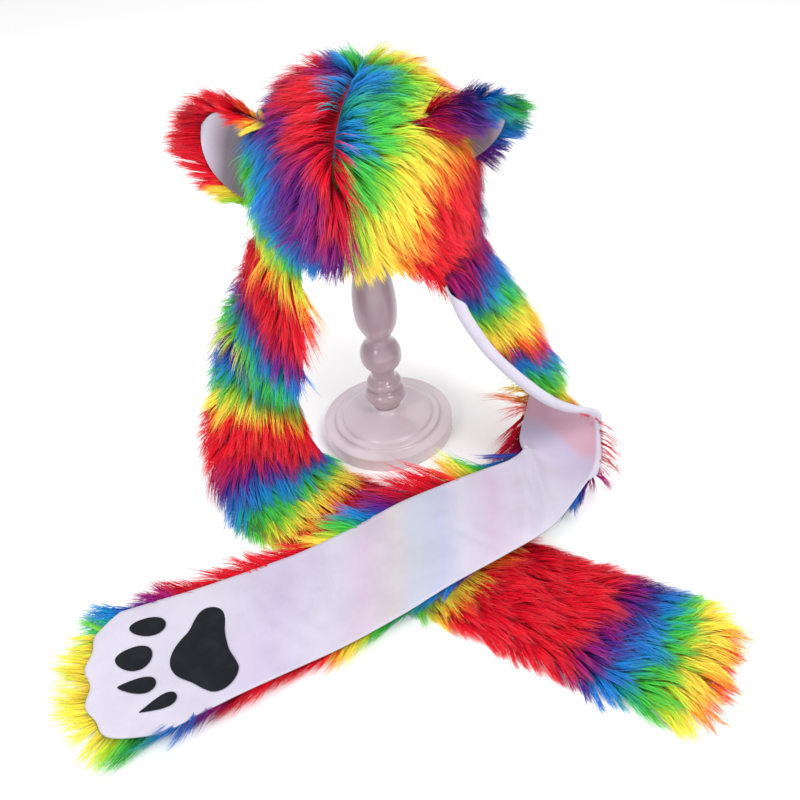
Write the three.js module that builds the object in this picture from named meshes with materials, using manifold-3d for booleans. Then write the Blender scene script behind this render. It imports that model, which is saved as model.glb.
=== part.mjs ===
// Animal hood scarf of long faux fur, with two ears and two paws, on a turned hat stand.
// Millimetres, +Z up. The origin is the centre of the stand's foot, on the surface that it stands on,
// and the face opening looks along -Y.
import * as THREE from "three";
import Module from "manifold-3d";

const wasm = await Module();
wasm.setup();

// Sizes of the stand
const FOOT_RADIUS = 80;
const FOOT_HEIGHT = 41; // table to the shoulder that carries the post
const POST_RADIUS = 25; // at the fullest turning
const POST_HEIGHT = 289;
const HEAD_RADIUS = 65;
const HEAD_HEIGHT = 97;

// Sizes of the hood's cloth
const HOOD_WIDTH = 196;
const HOOD_DEPTH = 226;
const HOOD_HEIGHT = 192; // nape to crown
const HOOD_SHIFT = 8; // the hood sits a little to the right of the post
const HOOD_TURN = -6; // degrees about the post
const CROWN_SLOPE = 0.1; // fall of the hood's lining from its crown to the top of the stand's head
const RIGHT_SEAT = 78; // degrees round the rim from the seam in front to the middle of an arm
const LEFT_SEAT = -63;

// Sizes of the scarf arms
const ARM_LENGTH = 800; // rim of the hood to the tip of the paw
const SCARF_WIDTH = 126;
const SEAT_ROOT = 40; // how far an arm runs up under the hood's rim, where the rim trims it
const PAW_ROUND = 34; // how far the corners of a paw are rounded back
const TOE_NOTCH = 5; // between two toes

// Sizes of the ears
const EAR_LENGTH = 62;
const EAR_WIDTH = 80;
const EAR_CUP = 17;
const EAR_ROOT = 34; // run of the ear inside the hood's fur, where the hood trims it
const EAR_FRINGE = 17; // fur beyond the edge of the white cup
const EAR_NECK = 40; // length in which the root would narrow to nothing
const EAR_POWER = 2.4; // roundness of an ear's outline

// Walls and pile
const CLEARANCE = 0.3; // between pieces that are sewn or pressed together
const LINING_WALL = 2;
const PAD_WALL = 1.5;
const FUR_BED = 12; // backing and the dense root of the pile
const ARM_BED = 20; // the same on the arms, whose pile stands up from both edges
const LOCK_HEIGHT = 13; // lock above the bed
const LOCK_LEAN = 13; // tip of a lock along the brushed direction
const FRINGE = 24; // pile beyond the edges of an arm's lining
const PAW_RUN = 90; // last stretch of an arm, which takes up the round of the paw
const TRIM = 0.8; // share of the clearance by which a lining trims the fur behind it
const CROSSING_GAP = 1; // between the fur of the two arms where they cross
const FRINGE_DROOP = 4; // the fringe's edge, back past the face of the lining
const FRINGE_LEAST = 0.7; // shortest and longest share of the fringe, whose edge is ragged
const FRINGE_MOST = 1.3;
const TIP_THIN = 0.75; // how much thinner the pile is at the end of a paw
const LOCK_LEAST = 0.65; // smallest and largest lock, as shares of the lock's size
const LOCK_MOST = 1.15;
const CROWN_THIN = 1.6; // how soon locks grow from the crown down
const EAR_LOCK = 0.7; // height of an ear's locks against a lock's
const PARTING = 0.8; // sideways share of the way the pile falls from the seam
const RIM_GROWTH = 5; // clearances by which the trim outgrows the locks that hang past the rim
const LYING = 18; // face of the lining above the table, on an arm that lies on its fur

// Main black pad of a paw and its distance from the tip of the paw
const MAIN_PAD = 95;
const MAIN_PAD_BACK = 103;
const MAIN_PAD_ACROSS = -9;

// Net sizes
const ROUND = 20; // sides of a turned piece
const HOOD_ROWS = 8;
const HOOD_COLUMNS = 12; // on each side of the seam
const ARM_ROWS = 26;
const TIP_ROWS = 2; // of fur past the end of the lining
const LINING_COLUMNS = 8; // two for each toe
const EAR_ROWS = 6;
const EAR_COLUMNS = 6;
const STEP = 0.002;

// A table's rows as objects with a named value for each column.
function table(names, rows) {
  const keys = names.split(" ");
  return rows.map((row) => Object.fromEntries(keys.map((key, column) => [key, row[column]])));
}

// Turned foot: shares of FOOT_RADIUS and FOOT_HEIGHT, from the table up.
const FOOT = table("girth up", [
  [0.97, 0], [1, 0.05], [1, 0.4], [0.97, 0.46], [0.83, 0.47], [0.8, 0.56], [0.71, 0.58],
  [0.66, 0.66], [0.42, 0.76], [0.26, 0.88], [0.21, 1],
]);

// Turned post: shares of POST_RADIUS and POST_HEIGHT, with its beads, ball and vase.
const POST = table("girth up", [
  [0.62, 0], [0.84, 0.03], [1, 0.06], [0.88, 0.084], [0.7, 0.096], [0.84, 0.11], [0.8, 0.13],
  [0.56, 0.15], [0.56, 0.175], [0.66, 0.2], [0.85, 0.22], [0.96, 0.245], [0.96, 0.28], [0.84, 0.31],
  [0.62, 0.338], [0.6, 0.36], [0.78, 0.39], [0.94, 0.43], [1, 0.49], [0.96, 0.56], [0.8, 0.64],
  [0.54, 0.7], [0.42, 0.75], [0.42, 1],
]);

// Mushroom head: shares of HEAD_RADIUS and HEAD_HEIGHT.
const HEAD = table("girth up", [
  [0.24, 0], [0.74, 0.1], [0.96, 0.28], [1, 0.46], [0.94, 0.66], [0.78, 0.81], [0.5, 0.92], [0.22, 0.975],
]);

// Rim of the hood, every 22.5 degrees from the forehead round to the nape: shares of HOOD_HEIGHT.
const RIM = table("rise", [[0.37], [0.355], [0.25], [0.14], [0.125], [0.12], [0.1], [0.03], [0]]);

// Dome of the hood: its widest level as a share of HOOD_HEIGHT, its fullness and how far it tucks in below.
const DOME_WAIST = 0.53;
const DOME_POWER = 2.3;
const DOME_TUCK = 0.04;

// Arms, from the seat at the rim to the tip of the paw. out and ahead are shares of ARM_LENGTH from the
// seat, hang is a share of the seat's height and lift of LYING. turn and tip are degrees of the line
// across the arm. wide is a share of SCARF_WIDTH, bow of LYING and pile of ARM_BED. inner and outer are
// shares of FRINGE, inner on the side of the arm that ends up towards the stand.
const ARM_COLUMNS = "out ahead hang lift turn tip wide bow pile inner outer";
const RIGHT_ARM = table(ARM_COLUMNS, [
  [0, 0, 1, 0, 82, 0, 1, 0.65, 0.8, 0.8, 0.3],
  [0.017, -0.003, 0.88, 0, 78, -4, 1, 0.55, 1, 0.9, 0.1],
  [0.048, -0.009, 0.72, 0, 76, -8, 0.98, 0.55, 1, 0.9, 0.1],
  [0.084, -0.015, 0.55, 0, 84, -10, 0.92, 0.65, 1, 0.8, 0.1],
  [0.114, -0.027, 0.37, 0, 112, -4, 0.84, 0.75, 1, 0.6, 0.2],
  [0.133, -0.047, 0.24, 0, 152, 6, 0.74, 0.75, 1.3, 0.2, 0.4],
  [0.137, -0.079, 0, 2.56, 172, 2, 0.66, 0.65, 1.7, 0, 0.4],
  [0.114, -0.119, 0, 2.44, 156, 0, 0.7, 0.4, 1.6, 0.2, 0.35],
  [0.074, -0.159, 0, 2.44, 136, 0, 0.86, 0.2, 1.2, 0.6, 0.3],
  [0.017, -0.197, 0, 2.5, 124, 0, 0.92, 0.1, 0.65, 0.8, 0.3],
  [-0.046, -0.233, 0, 2.3, 120, 0, 0.96, 0.1, 0.65, 0.9, 0.3],
  [-0.101, -0.263, 0, 1.7, 119, 0, 0.98, 0.1, 0.7, 1, 0.3],
  [-0.168, -0.297, 0, 1.11, 118, 0, 1, 0.1, 0.75, 1, 0.35],
  [-0.23, -0.328, 0, 1, 118, 0, 1.02, 0.1, 0.8, 1, 0.4],
  [-0.286, -0.357, 0, 1, 118, 0, 1.05, 0.1, 0.8, 1, 0.5],
  [-0.338, -0.384, 0, 1, 118, 0, 1.12, 0, 0.8, 1, 0.7],
  [-0.383, -0.407, 0, 1, 118, 0, 1.17, 0, 0.8, 1, 0.9],
  [-0.416, -0.421, 0, 1, 118, 0, 1.17, 0, 0.8, 1, 1],
]);
const LEFT_ARM = table(ARM_COLUMNS, [
  [0, 0, 1, 0, -61, 0, 1, 0.55, 0.8, 0.8, 0.8],
  [-0.01, -0.014, 0.86, 0, -55, 0, 1, 0.45, 1, 0.7, 0.8],
  [-0.025, -0.026, 0.71, 0, -45, 0, 0.98, 0.45, 1, 0.6, 0.7],
  [-0.04, -0.042, 0.56, 0, -33, 4, 0.94, 0.35, 1, 0.4, 0.6],
  [-0.05, -0.059, 0.41, 0, -16, 10, 0.9, 0.35, 1, 0.3, 0.5],
  [-0.055, -0.071, 0.26, 0, 8, 18, 0.88, 0.35, 1, 0.2, 0.4],
  [-0.045, -0.089, 0, 1.83, 34, 18, 0.88, 0.35, 0.9, 0.2, 0.4],
  [-0.017, -0.109, 0, 0.72, 54, 8, 0.9, 0.2, 0.8, 0.3, 0.5],
  [0.034, -0.132, 0, 0.17, 64, 0, 0.92, 0, 0.55, 0.6, 0.6],
  [0.09, -0.16, 0, 0.17, 64, 0, 0.94, 0, 0.45, 0.8, 0.5],
  [0.148, -0.189, 0, 0.17, 63, 0, 0.96, 0, 0.5, 0.8, 0.4],
  [0.24, -0.237, 0, 0.17, 62, 0, 0.96, 0, 0.55, 0.8, 0.4],
  [0.335, -0.284, 0, 0.17, 62, 0, 0.97, 0, 0.9, 0.7, 0.4],
  [0.403, -0.316, 0, 0.17, 63, 0, 0.98, 0, 1, 0.7, 0.4],
  [0.46, -0.344, 0, 0.17, 65, 0, 1, 0, 1, 0.6, 0.4],
  [0.505, -0.362, 0, 0.17, 66, 0, 1, 0, 1, 0.6, 0.4],
  [0.535, -0.376, 0, 0.17, 67, 0, 1, 0, 1, 0.5, 0.4],
]);

// Pads of a paw, as shares of MAIN_PAD. The main pad is a round-cornered outline about its own middle,
// and each toe is an oval at a distance back from the paw's tip, turned by slant degrees.
const MAIN_PAD_OUTLINE = table("back across", [
  [0.18, 0.5], [0.31, 0.32], [0.23, 0.05], [0.25, -0.37], [0.08, -0.5],
  [-0.09, -0.34], [-0.33, 0.01], [-0.32, 0.11], [-0.22, 0.24], [-0.03, 0.39],
]);
const TOES = table("back across long wide slant", [
  [0.64, 0.45, 0.36, 0.22, -24],
  [0.46, 0.14, 0.36, 0.27, -25],
  [0.45, -0.18, 0.35, 0.17, -22],
  [0.6, -0.46, 0.33, 0.13, 3],
]);
const PAD_POINTS = 12;

// Places of the ears on the hood: height as a share of HOOD_HEIGHT, angle round the hood, and in degrees
// where the tip points (round from +X, and up) and how far the cup rolls about that line.
const EARS = {
  left: { angle: -63, rise: 0.66, point: 184, up: 30, roll: 0 },
  right: { angle: 72, rise: 0.77, point: 4, up: 18, roll: 40 },
};

// Finishes
const FUR_RED = { color: 0xc8202c, roughness: 0.95, metalness: 0 };
const FUR_BLUE = { color: 0x2b7fb8, roughness: 0.95, metalness: 0 };
const FUR_YELLOW = { color: 0xe6c83a, roughness: 0.95, metalness: 0 };
const PLUSH = { color: 0xe9e4f0, roughness: 0.95, metalness: 0 };
const PAD_CLOTH = { color: 0x1d2229, roughness: 0.8, metalness: 0 };
const STAND_PAINT = { color: 0xb8aab4, roughness: 0.35, metalness: 0 };

const radians = THREE.MathUtils.degToRad;
const vector = (x, y, z) => new THREE.Vector3(x, y, z);
const UP = vector(0, 0, 1);

// The same uneven share from 0 to 1 each time, for a lock's place in its net.
function scatter(row, column) {
  let mixed = Math.imul(row + 7, 374761393) + Math.imul(column + 13, 668265263);
  mixed = Math.imul(mixed ^ (mixed >>> 13), 1274126177);
  return ((mixed ^ (mixed >>> 16)) >>> 0) / 2 ** 32;
}

// Uneven size of a lock in its net, as a share of the size that all share.
const lockShare = (row, column) => THREE.MathUtils.lerp(LOCK_LEAST, LOCK_MOST, scatter(row, column));

// All columns of a table between its rows, on a smooth curve: 0 is the first row and 1 the last.
function read(rows, share) {
  const place = THREE.MathUtils.clamp(share, 0, 1) * (rows.length - 1);
  const row = Math.min(Math.floor(place), rows.length - 2);
  const w = place - row;
  const value = {};
  for (const key of Object.keys(rows[0])) {
    const b = rows[row][key];
    const c = rows[row + 1][key];
    const a = row > 0 ? rows[row - 1][key] : 2 * b - c;
    const d = row < rows.length - 2 ? rows[row + 2][key] : 2 * c - b;
    value[key] = b + 0.5 * w * (c - a + w * (2 * a - 5 * b + 4 * c - d + w * (3 * (b - c) + d - a)));
  }
  return value;
}

// A closed geometry from triangles: points that lie together are joined, slivers are dropped and the
// faces are turned outwards.
function closed(triangles) {
  const numbers = new Map();
  const positions = [];
  const corner = (point) => {
    const key = [point.x, point.y, point.z].map((value) => Math.round(value * 1000)).join(" ");
    if (!numbers.has(key)) {
      numbers.set(key, numbers.size);
      positions.push(point.x, point.y, point.z);
    }
    return numbers.get(key);
  };
  let volume = 0;
  const index = [];
  for (const [p, q, r] of triangles) {
    const [a, b, c] = [corner(p), corner(q), corner(r)];
    if (a === b || b === c || c === a) continue;
    volume += p.dot(q.clone().cross(r));
    index.push(a, b, c);
  }
  if (volume < 0) index.reverse();
  const geometry = new THREE.BufferGeometry();
  geometry.setAttribute("position", new THREE.Float32BufferAttribute(positions, 3));
  geometry.setIndex(index);
  return geometry;
}

// Triangles of a body between an outer and an inner net of points, rows first. peak gives the tip of the
// lock that stands on an outer cell, or null for a bare cell. A joined slab has no side walls, because
// another slab goes on from there.
function slab(outer, inner, peak, joined = false) {
  const rows = outer.length - 1;
  const columns = outer[0].length - 1;
  const triangles = [];
  const quad = (a, b, c, d) => triangles.push([a, b, c], [a, c, d]);
  for (let i = 0; i < rows; i++) {
    for (let j = 0; j < columns; j++) {
      const cell = [outer[i][j], outer[i + 1][j], outer[i + 1][j + 1], outer[i][j + 1]];
      const tip = peak(i, j, cell);
      if (tip) cell.forEach((point, k) => triangles.push([point, cell[(k + 1) % 4], tip]));
      else quad(...cell);
      quad(inner[i][j], inner[i][j + 1], inner[i + 1][j + 1], inner[i + 1][j]);
    }
  }
  for (let i = 0; i < rows && !joined; i++) {
    quad(outer[i + 1][0], outer[i][0], inner[i][0], inner[i + 1][0]);
    quad(outer[i][columns], outer[i + 1][columns], inner[i + 1][columns], inner[i][columns]);
  }
  for (let j = 0; j < columns; j++) {
    quad(outer[0][j], outer[0][j + 1], inner[0][j + 1], inner[0][j]);
    quad(outer[rows][j + 1], outer[rows][j], inner[rows][j], inner[rows][j + 1]);
  }
  return triangles;
}

const bare = () => null;

// A net of points from a function of the row's share and the column's share, both from 0 to 1.
function net(rows, columns, place) {
  const points = [];
  for (let i = 0; i <= rows; i++) {
    points.push([]);
    for (let j = 0; j <= columns; j++) points[i].push(place(i / rows, j / columns));
  }
  return points;
}

// Tip of a lock on a cell: out along the normal and over along the brushed direction.
function lockTip(cell, normal, brushed, height, lean) {
  const middle = vector(0, 0, 0);
  for (const point of cell) middle.addScaledVector(point, 1 / cell.length);
  return middle.addScaledVector(normal, height).addScaledVector(brushed, lean);
}

function solidOf(geometry) {
  return new wasm.Manifold(new wasm.Mesh({
    numProp: 3,
    vertProperties: geometry.attributes.position.array,
    triVerts: Uint32Array.from(geometry.index.array),
  }));
}

// The main piece of a geometry after others are cut out of it.
function cut(geometry, tools) {
  let solid = solidOf(geometry);
  for (const tool of tools) solid = solid.subtract(solidOf(tool));
  const pieces = solid.decompose().sort((a, b) => b.volume() - a.volume());
  const kept = pieces[0].getMesh();
  const result = new THREE.BufferGeometry();
  result.setAttribute("position", new THREE.BufferAttribute(kept.vertProperties, 3));
  result.setIndex(new THREE.BufferAttribute(kept.triVerts, 1));
  return result;
}

function piece(name, geometry, finish) {
  const mesh = new THREE.Mesh(geometry, new THREE.MeshStandardMaterial(finish));
  geometry.computeVertexNormals();
  mesh.name = name;
  return mesh;
}

// A turned solid from a profile table, standing on z = 0 and grown by a clearance all round.
function turned(profile, radius, height, grown = 0) {
  const points = profile.map(({ girth, up }) => new THREE.Vector2(girth * radius + grown, up * height));
  points[0].y -= grown;
  points[points.length - 1].y += grown;
  points.unshift(new THREE.Vector2(0, points[0].y));
  points.push(new THREE.Vector2(0, Math.max(points[points.length - 1].y, height)));
  const lathe = new THREE.LatheGeometry(points, ROUND).rotateX(Math.PI / 2);
  const index = lathe.index.array;
  const at = (k) => vector().fromBufferAttribute(lathe.attributes.position, index[k]);
  const triangles = [];
  for (let k = 0; k < index.length; k += 3) triangles.push([at(k), at(k + 1), at(k + 2)]);
  return closed(triangles);
}

const HEAD_FOOT = FOOT_HEIGHT + POST_HEIGHT + 2 * CLEARANCE;
const HEAD_TOP = HEAD_FOOT + HEAD_HEIGHT;
const CROWN = HEAD_TOP + HOOD_SHIFT * CROWN_SLOPE + CLEARANCE + LINING_WALL; // outside of the lining

function hatStand() {
  const stand = new THREE.Group();
  const foot = piece("stand_base", turned(FOOT, FOOT_RADIUS, FOOT_HEIGHT), STAND_PAINT);
  const post = piece("stand_post", turned(POST, POST_RADIUS, POST_HEIGHT), STAND_PAINT);
  const head = piece("stand_head", turned(HEAD, HEAD_RADIUS, HEAD_HEIGHT), STAND_PAINT);
  post.position.z = FOOT_HEIGHT + CLEARANCE;
  head.position.z = HEAD_FOOT;
  stand.add(foot, post, head);
  return stand;
}

// A point on the hood's cloth in the hood's own frame, with z = 0 at the nape. angle is in degrees from
// the forehead, positive to the right, and share runs from the rim to the crown.
function cloth(angle, share) {
  const rim = read(RIM, Math.abs(angle) / 180).rise;
  const rise = rim + (1 - rim) * Math.sin(share * Math.PI / 2);
  const above = Math.max(rise - DOME_WAIST, 0) / (1 - DOME_WAIST);
  const below = Math.max(DOME_WAIST - rise, 0) / DOME_WAIST;
  const full = Math.max(1 - above ** DOME_POWER, 0) ** (1 / DOME_POWER) * (1 - DOME_TUCK * below ** 2);
  const turn = radians(angle);
  return vector(
    HOOD_WIDTH / 2 * full * Math.sin(turn), -HOOD_DEPTH / 2 * full * Math.cos(turn), rise * HOOD_HEIGHT,
  );
}

function clothNormal(angle, share) {
  if (share > 1 - STEP) return UP.clone();
  const low = Math.max(share - STEP, 0);
  const round = cloth(angle + 1, share).sub(cloth(angle - 1, share));
  return round.cross(cloth(angle, share + STEP).sub(cloth(angle, low))).normalize();
}

const offCloth = (angle, share, off) => cloth(angle, share).addScaledVector(clothNormal(angle, share), off);

// Direction in which the pile lies on the hood: away from the seam and down.
function hoodFlow(angle, share) {
  const normal = clothNormal(angle, share);
  const flow = vector(Math.sign(angle) * PARTING, 0, -1);
  return flow.addScaledVector(normal, -flow.dot(normal)).normalize();
}

// Lock on a hood cell: smaller towards the crown, where the cells narrow.
function hoodLock(side, i, j, cell) {
  const angle = side * (j + 0.5) * 180 / HOOD_COLUMNS;
  const share = (i + 0.5) / HOOD_ROWS;
  const size = Math.min(1, CROWN_THIN * (1 - share)) * lockShare(i, j * side);
  const [normal, flow] = [clothNormal(angle, share), hoodFlow(angle, share)];
  return lockTip(cell, normal, flow, LOCK_HEIGHT * size, LOCK_LEAN * size);
}

// One fur panel of the hood, from the seam down one side, a sewing gap clear of its twin.
function hoodPanel(side) {
  const layer = (off) => net(HOOD_ROWS, HOOD_COLUMNS, (share, round) => {
    const point = offCloth(side * round * 180, share, off);
    point.x = side * Math.max(side * point.x, CLEARANCE / 2);
    return point;
  });
  const lock = (i, j, cell) => hoodLock(side, i, j, cell);
  return closed(slab(layer(CLEARANCE + FUR_BED), layer(CLEARANCE), lock));
}

// The lining's two halves join at the seam. Their nets follow the panels', so the gap between stays even.
function hoodLining() {
  const half = (side) => {
    const layer = (off) => net(HOOD_ROWS, HOOD_COLUMNS, (share, round) =>
      offCloth(side * round * 180, share, off));
    return slab(layer(0), layer(-LINING_WALL), bare, true);
  };
  return closed([...half(1), ...half(-1).map((triangle) => triangle.reverse())]);
}

// The whole hood as one block, grown by a clearance, to trim what is sewn on to it.
function hoodBlock() {
  const around = 2 * HOOD_COLUMNS;
  const skin = net(HOOD_ROWS, around, (share, round) => {
    const point = offCloth(360 * round - 180, share, 2 * CLEARANCE + FUR_BED);
    if (share === 0) point.z -= 2 * CLEARANCE;
    return point;
  });
  const triangles = [];
  for (let i = 0; i < HOOD_ROWS; i++) {
    for (let j = 0; j < around; j++) {
      const side = j < HOOD_COLUMNS ? -1 : 1;
      const column = side < 0 ? HOOD_COLUMNS - 1 - j : j - HOOD_COLUMNS;
      const cell = [skin[i][j], skin[i + 1][j], skin[i + 1][j + 1], skin[i][j + 1]];
      const [angle, share] = [side * (column + 0.5) * 180 / HOOD_COLUMNS, (i + 0.5) / HOOD_ROWS];
      const tip = hoodLock(side, i, column, cell);
      tip.addScaledVector(hoodFlow(side * 90, 0.5), (i === 0 ? RIM_GROWTH : 1) * CLEARANCE);
      tip.addScaledVector(clothNormal(angle, share), CLEARANCE);
      cell.forEach((point, k) => triangles.push([point, cell[(k + 1) % 4], tip]));
    }
  }
  const middle = vector(0, 0, read(RIM, 0.5).rise * HOOD_HEIGHT);
  const floor = net(1, around, (share, round) =>
    offCloth(360 * round - 180, 0, -LINING_WALL - CLEARANCE).addScaledVector(UP, -2 * CLEARANCE))[0];
  for (let j = 0; j < around; j++) {
    const [a, b, c, d] = [skin[0][j], skin[0][j + 1], floor[j], floor[j + 1]];
    if (j < HOOD_COLUMNS) triangles.push([a, b, c], [b, d, c], [c, d, middle]);
    else triangles.push([a, b, d], [a, d, c], [c, d, middle]);
  }
  return closed(triangles);
}

// An ear is a cupped leaf. share runs from the root in the hood to the tip and across from -1 to 1.
// grown widens it past the white cup and off lies behind the cup.
function earPoint(share, across, grown, off) {
  const long = EAR_LENGTH + grown;
  const wide = EAR_WIDTH / 2 + grown;
  const run = share * (long + EAR_ROOT) - EAR_ROOT;
  const end = run > 0 ? run / long : -run / EAR_NECK;
  const half = wide * Math.sqrt(Math.max(1 - end ** EAR_POWER, 0));
  return vector(across * half, run, EAR_CUP * (1 - (across * half / wide) ** 2) + off);
}

function earLining() {
  const layer = (off) => net(EAR_ROWS, EAR_COLUMNS, (share, round) => earPoint(share, 2 * round - 1, 0, off));
  return closed(slab(layer(0), layer(LINING_WALL), bare));
}

// Fur back of an ear, whose pile stands out past the cup and thins to an edge there.
function earFur() {
  const swell = (round, share) => Math.sqrt(1 - (2 * round - 1) ** 4) * Math.sqrt(1 - share ** 6);
  const front = net(EAR_ROWS, EAR_COLUMNS, (share, round) =>
    earPoint(share, 2 * round - 1, EAR_FRINGE, LINING_WALL + CLEARANCE));
  const back = net(EAR_ROWS, EAR_COLUMNS, (share, round) =>
    earPoint(share, 2 * round - 1, EAR_FRINGE, LINING_WALL + CLEARANCE + FUR_BED * swell(round, share)));
  const lock = (i, j, cell) => {
    const size = lockShare(i, j) * swell((j + 0.5) / EAR_COLUMNS, (i + 0.5) / EAR_ROWS);
    return lockTip(cell, UP, vector(0, 1, 0), EAR_LOCK * LOCK_HEIGHT * size, LOCK_LEAN * size);
  };
  return closed(slab(back, front, lock));
}

// Where an ear stands in the hood's frame: its root on the cloth, its tip pointing out.
function earPlace({ angle, rise, point, up, roll }) {
  const low = read(RIM, Math.abs(angle) / 180).rise;
  const root = cloth(angle, Math.asin((rise - low) / (1 - low)) * 2 / Math.PI);
  const along = vector(
    Math.cos(radians(point)) * Math.cos(radians(up)), Math.sin(radians(point)) * Math.cos(radians(up)),
    Math.sin(radians(up)),
  );
  const back = vector(0, 1, 0).addScaledVector(along, -along.y).normalize();
  const basis = new THREE.Matrix4().makeBasis(along.clone().cross(back), along, back);
  const rolled = new THREE.Matrix4().makeRotationAxis(along, radians(roll)).multiply(basis);
  return rolled.setPosition(root);
}

// Where the hood's frame stands on the table.
const HOOD_PLACE = new THREE.Matrix4()
  .makeRotationZ(radians(HOOD_TURN))
  .setPosition(HOOD_SHIFT, 0, CROWN - HOOD_HEIGHT);

// Centre line of an arm.
function armCentre(arm, share) {
  const row = read(arm.rows, share);
  return vector(
    arm.seat.x + row.out * ARM_LENGTH, arm.seat.y + row.ahead * ARM_LENGTH,
    row.hang * arm.seat.z + row.lift * LYING,
  );
}

// Place and directions on an arm at a run in millimetres from its seat. The arm runs on straight past
// both ends of its table.
function armAt(arm, run) {
  const within = THREE.MathUtils.clamp(run, 0, arm.run);
  const step = Math.max(arm.runs.findIndex((reached) => reached >= within), 1);
  const [low, high] = [arm.runs[step - 1], arm.runs[step]];
  const share = (step - 1 + (within - low) / (high - low)) * STEP;
  const row = read(arm.rows, share);
  const along = armCentre(arm, share + STEP).sub(armCentre(arm, share - STEP)).normalize();
  const centre = armCentre(arm, share).addScaledVector(along, run - within);
  const [turn, tip] = [radians(row.turn), radians(row.tip)];
  const across = vector(Math.cos(turn) * Math.cos(tip), Math.sin(turn) * Math.cos(tip), Math.sin(tip));
  across.addScaledVector(along, -across.dot(along)).normalize();
  return { row, centre, along, across, out: along.clone().cross(across), half: row.wide * SCARF_WIDTH / 2 };
}

// A point of an arm: run down it, aside from its middle and off the lining's face on the fur's side.
function armPoint(arm, run, aside, off) {
  const { row, centre, across, out, half } = armAt(arm, run);
  const bow = row.bow * LYING * Math.max(1 - (aside / half) ** 2, 0);
  return centre.addScaledVector(across, aside).addScaledVector(out, bow + off);
}

// How far the end of a paw falls back at a share of its half width, round at the corners and notched
// between the toes.
function pawBack(across) {
  return PAW_ROUND * across ** 4 + TOE_NOTCH * Math.abs(Math.cos(2 * Math.PI * across));
}

// Run of a row of an arm's net: the first row is the root, ARM_ROWS ends the lining and TIP_ROWS more end
// the fur. The last stretch before the lining's end takes up the round of the paw.
function armRun(arm, row, across) {
  const past = Math.max(row - ARM_ROWS, 0) / TIP_ROWS;
  const run = Math.min(row / ARM_ROWS, 1) * (arm.run + SEAT_ROOT) - SEAT_ROOT;
  const ending = Math.max(run - arm.run + PAW_RUN, 0) / PAW_RUN;
  return run + past * FRINGE - pawBack(across) * ending;
}

// Lining of an arm, grown by a clearance where it trims the fur behind it.
function armLining(arm, grown = 0) {
  const layer = (off) => net(ARM_ROWS, LINING_COLUMNS, (share, round) => {
    const across = 2 * round - 1;
    const run = armRun(arm, Math.round(share * ARM_ROWS), across);
    return armPoint(arm, run, across * (armAt(arm, run).half + grown), off);
  });
  return closed(slab(layer(LINING_WALL + grown), layer(-grown), bare));
}

// Fur of an arm, grown by a clearance where it trims the arm that lies over it. Its back follows the
// lining's net and runs on to the edge of the fringe. Nothing goes below the table, where the pile is
// pressed flat.
function armFur(arm, grown = 0) {
  const rows = ARM_ROWS + TIP_ROWS;
  const columns = LINING_COLUMNS + 2;
  const under = LINING_WALL + CLEARANCE;
  const onTable = (point) => point.setZ(Math.max(point.z, 0));
  const width = (run, side, share) => {
    const { row, half } = armAt(arm, run);
    return side * (half + LINING_WALL + FRINGE * share * (side > 0 ? row.inner : row.outer) + grown);
  };
  const fringe = (row, side) => {
    const run = armRun(arm, row, side);
    const share = THREE.MathUtils.lerp(FRINGE_LEAST, FRINGE_MOST, scatter(row, side));
    return onTable(armPoint(arm, run, width(run, side, share), -FRINGE_DROOP));
  };
  const back = net(rows, columns, (share, round) => {
    const row = Math.round(share * rows);
    if (round === 0 || round === 1) return fringe(row, 2 * round - 1);
    const across = (2 * round - 1) * columns / LINING_COLUMNS;
    const run = armRun(arm, row, across);
    const past = Math.max(row - ARM_ROWS, 0) / TIP_ROWS;
    const off = under - (under + FRINGE_DROOP) * past;
    const hem = Math.abs(across) === 1 ? CLEARANCE / 2 : 0;
    return onTable(armPoint(arm, run, across * (armAt(arm, run).half + hem), off - grown));
  });
  const pile = net(rows, columns, (share, round) => {
    const row = Math.round(share * rows);
    if (round === 0 || round === 1) return fringe(row, 2 * round - 1);
    const aim = Math.sin((round - 0.5) * Math.PI);
    const run = armRun(arm, row, aim);
    const past = Math.max(row - ARM_ROWS, 0) / TIP_ROWS;
    const bed = armAt(arm, run).row.pile * ARM_BED;
    const thick = (under + FRINGE_DROOP + bed) * Math.sqrt(1 - aim ** 4) * (1 - TIP_THIN * past ** 2);
    const aside = Math.abs(aim) * width(run, Math.sign(aim), 1);
    return onTable(armPoint(arm, run, aside, thick - FRINGE_DROOP + grown));
  });
  const lock = (i, j, cell) => {
    if (j === 0 || j === columns - 1) return null;
    const { row, along, out } = armAt(arm, armRun(arm, i + 0.5, 0));
    const middle = cell.reduce((sum, point) => sum + point.z / cell.length, 0);
    const room = out.z < 0 ? THREE.MathUtils.clamp(middle / LOCK_HEIGHT, 0, 1) : 1;
    const size = lockShare(i, j + arm.seed) * Math.min(row.pile, 1) * room;
    return onTable(lockTip(cell, out, along, LOCK_HEIGHT * size + grown * room, LOCK_LEAN * size));
  };
  return closed(slab(pile, back, lock));
}

// A black patch sewn on the lining: outline points as back and aside in millimetres on the paw.
function pad(arm, outline) {
  const layer = (off) => outline.map(([back, aside]) => armPoint(arm, arm.run - back, aside, -off));
  const [low, high] = [layer(CLEARANCE), layer(CLEARANCE + PAD_WALL)];
  const middle = (points) => lockTip(points, UP, UP, 0, 0);
  const [sewn, face] = [middle(low), middle(high)];
  const triangles = [];
  outline.forEach((_, k) => {
    const next = (k + 1) % outline.length;
    triangles.push([high[k], high[next], face], [low[next], low[k], sewn]);
    triangles.push([low[k], low[next], high[next]], [low[k], high[next], high[k]]);
  });
  return closed(triangles);
}

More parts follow.
